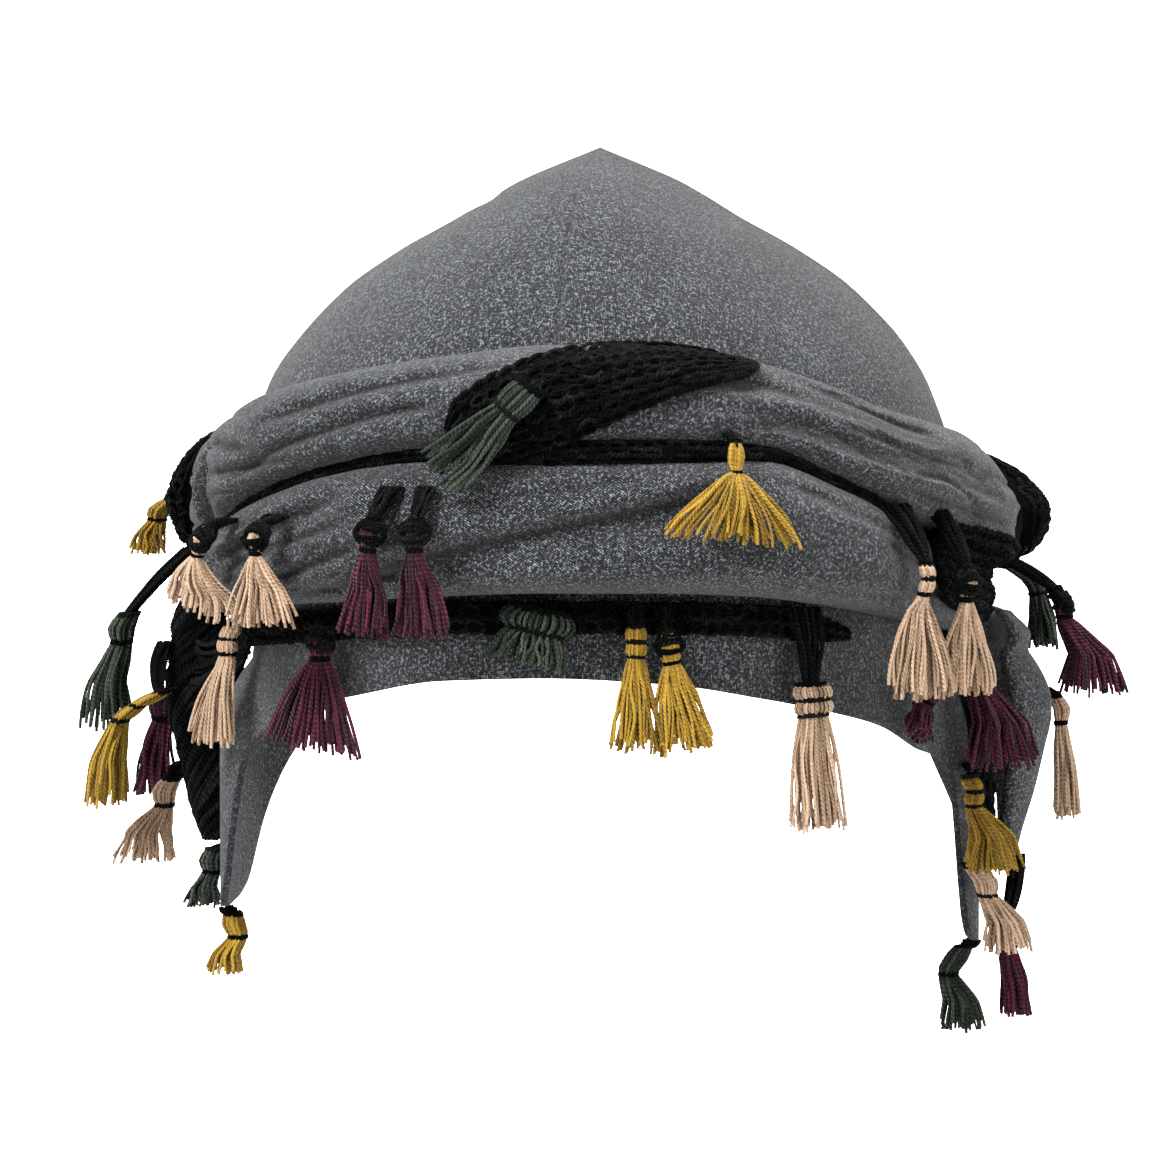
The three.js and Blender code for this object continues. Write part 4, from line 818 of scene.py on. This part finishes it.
# The left tail of the trim hangs free, its rows twisted together into a cord. Loose strands of the same yarn
# run to it from the trim at the brow.
TAIL_STRANDS = 9
TAIL_TURNS = 1.6
TAIL_STRAND_RADIUS = 0.85
TAIL_FIBRES = 600
LOOSE_STRANDS = 22
LOOSE_RADIUS = 0.6
LOOSE_FROM = -80
LOOSE_TO = -99
random = np.random.default_rng(61)
t = np.linspace(0, 1, 60)
here = {column: smooth(LEFT_TAIL, "row", column, t * 5) for column in LEFT_TAIL if column != "row"}
tail_z = rise_to_height(here["rise"])
degree = CAP_HALF_WIDTH * np.radians(1)
tail_radius = cloth_radius(here["at"], np.minimum(tail_z, 0), 0) + (here["off"] + here["deep"]) * TAIL_WIDTH
paths = []
for strand in range(TAIL_STRANDS):
    turn = 2 * np.pi * (strand / TAIL_STRANDS + TAIL_TURNS * t)
    for fibre in range(3):
        own = turn + 0.28 * fibre + 0.15 * np.sin(9 * t + strand)
        reach = 0.9 + 0.07 * np.sin(13 * t + 2 * fibre + strand)
        side = here["wide"] * TAIL_WIDTH * reach * np.cos(own)
        radius = tail_radius + here["deep"] * TAIL_WIDTH * reach * np.sin(own)
        points = at(here["at"] + side / degree, radius, tail_z)
        paths.append((points, TAIL_STRAND_RADIUS, random.random(), True))
for _ in range(LOOSE_STRANDS):
    from_z = random.uniform(-3, 9)
    to_z = random.uniform(-26, 2)
    u = np.linspace(0, 1, 10)
    z = from_z + (to_z - from_z) * u**0.8 - 3 * np.sin(np.pi * u)
    from_radius = float(cloth_radius(LOOSE_FROM, from_z, 0)) + 1.5
    to_radius = np.interp(to_z, tail_z[::-1], tail_radius[::-1])
    radius = from_radius + (to_radius - from_radius) * u + random.uniform(0, 2.5) * np.sin(np.pi * u)
    points = at(LOOSE_FROM + (LOOSE_TO - LOOSE_FROM) * u, radius, z)
    paths.append((points, LOOSE_RADIUS, random.random(), True))
for _ in range(TAIL_FIBRES):
    begin = random.uniform(0, 0.97)
    k = int(begin * 59)
    turn = random.uniform(0, 2 * np.pi) + np.linspace(0, 1, 4) * random.normal(0, 0.3)
    reach = 0.95 + np.linspace(0, 1, 4) * random.uniform(0.05, 0.3)
    side = here["wide"][k] * TAIL_WIDTH * reach * np.cos(turn)
    radius = tail_radius[k] + here["deep"][k] * TAIL_WIDTH * reach * np.sin(turn)
    drop = tail_z[k] + np.linspace(0, 1, 4) * random.normal(0, 1.6)
    paths.append((at(here["at"][k] + side / degree, radius, drop), FIBRE_RADIUS, random.random(), True))
paths.append((at(here["at"], tail_radius, tail_z), here["deep"] * TAIL_WIDTH * 0.8, 0.2, True))
trim_pieces.append((sweep_yarn("trim_tail_left_crochet", paths, black_yarn, 6), "trim_tail_left"))
for piece, node in trim_pieces:
    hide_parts(node)
    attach(piece, "root")

# The tassels: hanks of plied cotton doubled over a loop of black yarn, bound with black thread into one or
# two beads at the head, and cut off below. The black yarn of each neck is sewn into the trim.
TASSEL_LENGTH = 27
TASSEL_HALF_SPREAD = 9
TASSEL_HALF_DEPTH = 3.2
HEAD_RADIUS = 3.4
NECK_LENGTH = 10
TASSEL_CLEARANCE = 1.3
TASSEL_SEAT = 0.3
THREAD_RADIUS = 0.38
BINDING_RADIUS = 0.3
BINDING_PITCH = 0.34
KNOT_LOOPS = 44
KNOT_YARN_RADIUS = 0.6
NECK_YARN_RADIUS = 0.55
NECK_FIBRES = 45
SEWN_IN = 1.0
SEWN_IN_GROOVE = 4.5
COLOURS = {
    "green": cotton_yarn("green_plied_cotton", [
        (0.2, "#0d130e"), (0.45, "#252f25"), (0.7, "#445040"), (0.95, "#7d8972")], 0.8, 0.2),
    "mustard": cotton_yarn("mustard_plied_cotton", [
        (0.2, "#5d4410"), (0.45, "#96741f"), (0.7, "#bb9632"), (0.95, "#dcbb5c")], 0.75, 0.2),
    "beige": cotton_yarn("beige_plied_cotton", [
        (0.2, "#7f654d"), (0.45, "#b3957b"), (0.7, "#d1b49a"), (0.95, "#ebdbc6")], 0.75, 0.2),
    "plum": cotton_yarn("plum_plied_cotton", [
        (0.2, "#16040c"), (0.45, "#380b21"), (0.7, "#5f183a"), (0.95, "#9a476f")], 0.8, 0.2),
}
# A tassel's row. at and rise place the start of its neck and lean tilts it, in degrees. The rest are
# shares: its neck and its length, how wide its skirt spreads and how deep it is, how far it is lifted and
# stands out, and how much above the start it is sewn on. Then come its looks, or none where they are plain:
# the beads of its head, the head's width over its depth, the half widths of the neck's hank and the waist,
# the number of threads, how far they fan out and how much yarn is knotted over the head.
TASSEL_COLUMNS = ("name", "colour", "at", "rise", "lean", "neck", "length", "spread", "deep", "lift", "out",
                  "above", "beads", "across", "hank", "waist", "threads", "fan", "knot")
PLAIN_LOOKS = {"beads": 1, "across": 1, "hank": 2.0, "waist": 2.0, "threads": 60, "fan": 1, "knot": 0}
TASSELS = [
    ("beige_left_outer", "beige", -41.4, 0.466, -17, 0.15, 0.71, 1.15, 1.2, 0, 0.3, 0,
     1, 1, 2.4, 1.05, 74, 1.5, 0.95),
    ("beige_left_inner", "beige", -31.8, 0.484, 0, 0.15, 0.82, 1.0, 1, 0, 0.2, 0,
     1, 1, 2.4, 0.95, 70, 1.15, 1.0),
    ("beige_left_low", "beige", -61, 0.136, 0, 0.15, 1.01, 0.95, 1.2, 0, 0.6, 0,
     2, 1.5, 3.6, 1.5, 70, 1.15, 0),
    ("plum_left", "plum", -32.2, 0.156, -5, 0.15, 1.01, 1.4, 1, 0.2, 0.2, 0,
     1, 1.3, 2.4, 1.5, 90, 1.2, 1.0),
    ("plum_front_left", "plum", -16.3, 0.58, -7, 0.68, 0.94, 0.67, 1, 0, 0.2, 0,
     1, 1, 2.8, 1.3, 64, 1.1, 1.0),
    ("plum_front_right", "plum", -12.1, 0.582, 1, 0.68, 0.94, 0.64, 1, 0, 0.2, 0,
     1, 1, 2.6, 1.3, 64, 1.1, 1.0),
    ("green_top", "green", -0.4, 0.895, -41, 0.15, 0.95, 0.79, 1, 0.7, 0.4, 0,
     1, 1, 1.8, 3.0, 64, 0.95, 0),
    ("green_brow", "green", -0.8, 0.23, -13, 0.15, 0.45, 1.2, 1, 0.2, 0.2, 0,
     1, 2.6, 3.2, 2.4, 80, 1, 0),
    ("mustard_brow_left", "mustard", 10.8, 0.223, 0, 0.46, 1, 0.67, 1, 0.15, 0.2, 0,
     2, 1, 1.3, 1.4, 60, 1.1, 0),
    ("mustard_brow_right", "mustard", 14.1, 0.222, 9, 0.6, 0.97, 0.67, 1, 0.15, 0.2, 0,
     1, 1, 2.4, 1.4, 60, 1.1, 0.9),
    ("mustard_front", "mustard", 20.9, 0.74, -7, 0.15, 0.8, 1.62, 1, 0, 0.2, 0,
     1, 1, 0.8, 0.8, 70, 1.05, 0),
    ("beige_brow", "beige", 34.6, 0.206, 2, 1.74, 1.18, 0.79, 1, 0, 0.2, 0,
     2, 2.0, 4.4, 1.7, 80, 1, 0),
    ("beige_right_inner", "beige", 46.2, 0.513, -1, 1.29, 1.11, 0.73, 1, 0, 0.2, 0,
     2, 1, 4.5, 1.3, 60, 1.3, 0),
    ("beige_right_outer", "beige", 56.3, 0.491, -2, 1.35, 1.02, 0.8, 1, 0, 0.2, 0,
     1, 1, 3.6, 1.1, 64, 1.3, 1.0),
    ("plum_right_small", "plum", 62, -0.04, -30, 0.15, 0.5, 0.5, 1, 0, 0.1, 0),
    ("plum_right", "plum", 75, 0.091, 0, 0.45, 0.98, 1.18, 2.8, 1.3, 0.4, 0,
     1, 1.2, 2.4, 1.6, 84, 1, 0.9),
    ("mustard_right", "mustard", 76, -0.37, 0, 0.18, 0.8, 1, 2.3, 0.5, 0.2, 0,
     2, 1.2, 1.8, 1.5, 64, 1, 0),
    ("beige_right_low", "beige", 82, -0.694, 0, 0.15, 0.72, 0.74, 2.2, -0.8, 1.2, 0),
    ("plum_right_low", "plum", 103, -0.72, 0, 1.6, 0.84, 0.51, 1.4, 0, 0.3, 0),
    ("green_right_low", "green", 94, -1.0, 0, 0.15, 0.72, 0.69, 1.8, -2, -1.8, 0),
    ("plum_right_outer", "plum", 96, 0.312, 0, 0.82, 0.9, 1.18, 3.2, 0.2, 2.0, 0,
     1, 1, 3.0, 1.6, 72, 1.1, 1.0),
    ("beige_right_back", "beige", 108, -0.15, 0, 0.15, 1.08, 0.44, 1.2, 5.1, 0.4, 0,
     1, 1, 1.8, 1.2, 44, 1, 0),
    ("green_right_back", "green", 116, 0.273, 0, 0.15, 0.73, 0.46, 1.2, 0, 2.8, 0),
    ("mustard_left_high", "mustard", -106, 0.492, 0, 0.15, 0.5, 0.46, 1.5, 1.4, 1.9, 0,
     1, 1, 1.8, 1.9, 48, 1, 0),
    ("green_left", "green", -98, 0.318, 0, 1.64, 1.01, 0.67, 2, 1.4, 3.6, 0,
     1, 1.2, 3.0, 2.2, 50, 1, 0.6),
    ("mustard_left", "mustard", -89.5, -0.004, 0, 1, 0.99, 0.77, 1.8, 0, 5.7, 0.1,
     2, 1.8, 3.6, 1.8, 60, 1, 0),
    ("plum_left_back", "plum", -106.5, -0.08, 0, 0.7, 0.92, 0.49, 1.4, 6.6, 0.6, 0),
    ("beige_left_back", "beige", -100.5, -0.42, 0, 0.39, 0.75, 0.85, 2.4, 3.4, 0.9, 0),
    ("green_left_low", "green", -98, -0.7, 0, 0.15, 0.5, 0.54, 1.5, 0, 0, 0),
    ("mustard_left_low", "mustard", -84, -0.893, 0, 0.15, 0.52, 0.56, 1.7, -2, -0.8, 0),
    ("mustard_nape_right", "mustard", 138, 0.25, 0, 0.3, 0.86, 0.8, 1, 0, 0.3, 0),
    ("plum_nape_right", "plum", 156, 0.25, 0, 0.3, 0.86, 0.8, 1, 0, 0.3, 0),
    ("beige_nape", "beige", 174, 0.25, 0, 0.3, 0.86, 0.8, 1, 0, 0.3, 0),
    ("green_nape", "green", 192, 0.25, 0, 0.3, 0.86, 0.8, 1, 0, 0.3, 0),
    ("mustard_nape_left", "mustard", 210, 0.25, 0, 0.3, 0.86, 0.8, 1, 0, 0.3, 0),
    ("plum_nape_left", "plum", 228, 0.25, 0, 0.3, 0.86, 0.8, 1, 0, 0.3, 0),
]


def tassel_shape(row):
    """The lengths of a tassel's neck and head, and of its head and skirt together."""
    neck = NECK_LENGTH * row["neck"]
    length = TASSEL_LENGTH * row["length"]
    head = min(2 * HEAD_RADIUS, length * 0.4)
    return neck, head, length


def hangs_under_hem(angle, z):
    """Whether a place on a tassel is below the cap's hem, with no cloth behind it."""
    return z < hem_height(angle) + TASSEL_SEAT


def tassel_point(row, down, side, lift):
    """A point of a tassel: how far down, to the side and off its middle it lies."""
    neck, head, length = tassel_shape(row)
    depth = TASSEL_HALF_DEPTH * row["deep"]
    start = float(rise_to_height(row["rise"]))
    lean = np.radians(row["lean"])
    base = float(cloth_radius(row["at"], start, 0))
    thick = np.interp(
        down, [neck, neck + head * 0.45, neck + head, neck + (head + length) / 2, neck + length],
        [1.6, HEAD_RADIUS * 0.8, HEAD_RADIUS * 0.66, depth * 0.9, depth])
    aside = np.sin(lean) * down + np.cos(lean) * side
    z = start - np.cos(lean) * down + np.sin(lean) * side
    angle = row["at"] + np.degrees(aside / base)
    ease = np.minimum(1, down / (neck + head))
    stand_off = HEAD_RADIUS * row["out"]
    on_trim = base + TRIM_THICKNESS + TASSEL_SEAT + HEAD_RADIUS * row["lift"] + thick
    free = on_trim + stand_off * np.sin(ease * np.pi / 2)
    draped = cloth_radius(angle, z, TASSEL_CLEARANCE) + TRIM_THICKNESS + thick + stand_off * ease
    if hangs_under_hem(row["at"], start):
        draped = np.where(hangs_under_hem(angle, z), 0, draped)
    return at(angle, np.maximum(free, draped) + lift, z)


def in_circle(k, count):
    """The place of one thread among a number packed in a circle of radius 1."""
    turn = k * (np.pi * (3 - np.sqrt(5)))
    radius = np.sqrt((k + 0.5) / count)
    return radius * np.cos(turn), radius * np.sin(turn)


def make_skirt(row, random):
    """The threads of a tassel. Each goes down its head, is pinched at the waist and fans out in the skirt."""
    neck, head, length = tassel_shape(row)
    spread = TASSEL_HALF_SPREAD * row["spread"] * row["fan"]
    depth = TASSEL_HALF_DEPTH * row["deep"] * 0.95
    beads, waist = row["beads"], row["waist"]
    wide = waist * row["across"]
    t = np.append(np.linspace(0, 1, 4 * beads + 1)[:-1], 1.0)
    bulge = 1 + (0.5 if beads > 1 else 0.6) * np.abs(np.sin(np.pi * beads * t)) ** 0.8 * (1.35 / waist)
    drop = np.linspace(0, 1, 12)[1:]
    locks = random.uniform(-1, 1, (9, 2))
    paths = []
    for k in range(row["threads"]):
        s, q = in_circle(k, row["threads"])
        lock = locks[np.argmin(np.hypot(locks[:, 0] - s, locks[:, 1] - q))]
        s_end, q_end = s + 0.3 * (lock[0] - s), q + 0.3 * (lock[1] - q)
        cut = 1 + random.uniform(-0.09, 0.05)
        stray = random.normal(0, 0.07) + (random.uniform(-0.5, 0.5) if random.random() < 0.06 else 0)
        curl = random.uniform(0.15, 0.55)
        beat = random.uniform(3, 9)
        phase = random.uniform(0, 6)
        sway = curl * (np.sin(drop * beat + phase) - np.sin(phase)) * np.minimum(1, drop * 3)
        heave = curl * 0.7 * (np.cos(drop * beat * 0.8 + phase) - np.cos(phase)) * np.minimum(1, drop * 3)
        flare = np.sin(drop * np.pi / 2) ** 1.1 if row["fan"] > 1.2 else drop**0.8
        side = s * wide + ((s_end + stray) * spread - s * wide) * flare + sway
        lift = q * waist + (q_end * depth - q * waist) * flare + heave
        down = neck + head + (length * cut - head) * drop
        points = tassel_point(row, np.append(neck + head * t, down), np.append(s * wide * bulge, side),
                              np.append(q * waist * bulge, lift))
        thick = THREAD_RADIUS * random.uniform(0.85, 1.15)
        paths.append((points, thick, random.random(), False))
    return paths


def bind_head(row, random):
    """Black thread wound round the head, between its beads and across it."""
    neck, head, _ = tassel_shape(row)
    paths = []
    for bind in range(row["beads"] + 1):
        turns = 2 + int(random.integers(0, 3))
        u = np.linspace(0, turns * 2 * np.pi, turns * 9)
        down = neck + head * bind / row["beads"] + BINDING_PITCH * (u / u[-1] - 0.5) * turns
        tilt = random.uniform(-0.3, 0.3)
        ring = row["waist"] + THREAD_RADIUS
        wide_ring = row["waist"] * row["across"] + THREAD_RADIUS
        down = down + tilt * np.cos(u + random.uniform(0, 6))
        points = tassel_point(row, down, wide_ring * np.cos(u), ring * np.sin(u))
        paths.append((points, BINDING_RADIUS, random.random(), True))
    for _ in range(int(KNOT_LOOPS * row["knot"])):
        u = np.linspace(0, random.uniform(3, 6), 12) + random.uniform(0, 6)
        tip = random.uniform(-1.3, 1.3)
        size = HEAD_RADIUS * random.uniform(0.62, 0.86) * row["knot"]
        side = size * 1.15 * np.cos(u)
        down = neck + head * 0.42 + size * (np.sin(u) * np.cos(tip)) * 1.1
        lift = size * np.sin(u) * np.sin(tip) * 0.9 + random.uniform(-0.5, 0.5)
        points = tassel_point(row, np.maximum(down, 0.2), side, lift)
        paths.append((points, KNOT_YARN_RADIUS, random.random(), True))
    return paths


def make_neck(row, random):
    """The loop of black yarn that the tassel hangs by, from where it is sewn on down into the head."""
    neck, _, _ = tassel_shape(row)
    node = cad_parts["tassel_" + row["name"]]
    corners = np.array([vertex.co for vertex in node.data.vertices]) * 1000
    seat_z = float(rise_to_height(row["rise"])) + row["above"] * NECK_LENGTH
    seat = corners[np.abs(corners[:, 2] - seat_z) < 0.05].mean(axis=0)
    sewn_in = SEWN_IN_GROOVE if abs(seat_z - wrap_line("split", row["at"])) < 5 else SEWN_IN
    strands = int(6 + 3 * row["hank"])
    v = np.linspace(0, 1, 11)[:, None]
    paths = []
    for k in range(strands):
        s, q = in_circle(k, strands)
        first = seat + at(row["at"] + 90, s * row["hank"], 0.0)
        first = first + at(row["at"], q * min(row["hank"], 2.2) - sewn_in, 0.0)
        inside = tassel_point(row, np.array([neck + 0.4, neck + 2]), s * row["waist"] * np.array([0.9, 1.1]),
                              q * np.array([1.1, 1.2]))
        bow = random.normal(0, 0.5, 3) + at(row["at"], 0.5 + 0.06 * np.linalg.norm(inside[0] - first), 0.0)
        line = (1 - v) ** 3 * first + 3 * (1 - v) ** 2 * v * (first + (inside[0] - first) / 3 + bow)
        line = line + 3 * (1 - v) * v**2 * (first + (inside[0] - first) * 2 / 3 + bow) + v**3 * inside[0]
        twist = 0.35 * np.sin(v * 9 + k) * np.sin(v * np.pi)
        line = np.vstack((line + twist * at(row["at"] + 90, 1.0, 0.0), inside[1]))
        paths.append((line, NECK_YARN_RADIUS, random.random(), True))
    for _ in range(NECK_FIBRES):
        k = random.integers(0, strands)
        start = paths[k][0][random.integers(0, 10)]
        away = random.normal(0, 1, 3)
        reach = np.linspace(0, 1, 4)[:, None]
        fibre = start + reach * away * 0.8 + reach * (1 - reach) * random.normal(0, 1, 3)
        paths.append((fibre, FIBRE_RADIUS, random.random(), True))
    return paths


def make_tassel(row, seed):
    """A tassel: its threads, its binding and its neck, swept as one mesh."""
    random = np.random.default_rng(seed)
    paths = make_skirt(row, random) + bind_head(row, random) + make_neck(row, random)
    return sweep_yarn("tassel_" + row["name"] + "_threads", paths, COLOURS[row["colour"]], 5)


for number, values in enumerate(TASSELS):
    row = {**PLAIN_LOOKS, **dict(zip(TASSEL_COLUMNS, values))}
    tassel = make_tassel(row, 100 + number)
    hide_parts("tassel_" + row["name"])
    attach(tassel, "root")

# A pale studio: a sweep of pale card under and behind, a large soft light over the front, smaller ones at
# the side and above, and one on the card behind.
card, tree = new_material("pale_card")
card_shader = tree.nodes["Principled BSDF"]
card_shader.inputs["Base Color"].default_value = linear("#c4c4c3")
card_shader.inputs["Roughness"].default_value = 0.9
profile = [(-2.0, -0.2), (1.2, -0.2)]
profile += [(1.2 + 0.8 * np.sin(a), 0.6 - 0.8 * np.cos(a)) for a in np.linspace(0.15, np.pi / 2, 10)]
profile += [(2.0, 3.0)]
vertices = [(x, y, z) for y, z in profile for x in (-3.0, 3.0)]
faces = [(2 * i, 2 * i + 1, 2 * i + 3, 2 * i + 2) for i in range(len(profile) - 1)]
mesh = bpy.data.meshes.new("sweep")
mesh.from_pydata(vertices, [], faces)
mesh.polygons.foreach_set("use_smooth", [True] * len(mesh.polygons))
mesh.materials.append(card)
sweep = placed("sweep", mesh)

world = bpy.data.worlds.new("studio")
bpy.context.scene.world = world
world.use_nodes = True
world.node_tree.nodes["Background"].inputs["Color"].default_value = linear("#ffffff")
world.node_tree.nodes["Background"].inputs["Strength"].default_value = 0.5
for name, place, aim, size, power in (
    ("key", (-0.7, -1.3, 1.2), (0, 0, 0.02), 0.7, 50),
    ("fill", (1.2, -1.1, 0.5), (0, 0, 0.02), 0.9, 14),
    ("top", (0.1, 0.2, 1.6), (0, 0, 0.02), 0.8, 26),
    ("backdrop", (0, 0.6, 0.9), (0, 2, 0.1), 0.8, 140),
):
    lamp = bpy.data.lights.new(name, "AREA")
    lamp.size = size
    lamp.energy = power
    light = placed(name, lamp)
    light.location = place
    light.rotation_euler = (Vector(aim) - Vector(place)).to_track_quat("-Z", "Y").to_euler()

# The photograph's view: from a little to the wearer's left and a little above, from 1.5 m.
VIEW_TURN = np.radians(6.5)
VIEW_RISE = np.radians(3)
VIEW_DISTANCE = 1.5
AIM_ASIDE = -2.9
AIM_HEIGHT = 15.4
aim = Vector((AIM_ASIDE * np.cos(VIEW_TURN), AIM_ASIDE * np.sin(VIEW_TURN), AIM_HEIGHT)) / 1000
level = np.cos(VIEW_RISE)
away = Vector((np.sin(VIEW_TURN) * level, -np.cos(VIEW_TURN) * level, np.sin(VIEW_RISE)))
camera_data = bpy.data.cameras.new("camera")
camera_data.sensor_width = 36
camera_data.lens = 191.3
camera = placed("camera", camera_data)
camera.location = aim + away * VIEW_DISTANCE
camera.rotation_euler = (-away).to_track_quat("-Z", "Y").to_euler()
bpy.context.scene.camera = camera
bpy.context.scene.view_settings.view_transform = "Standard"
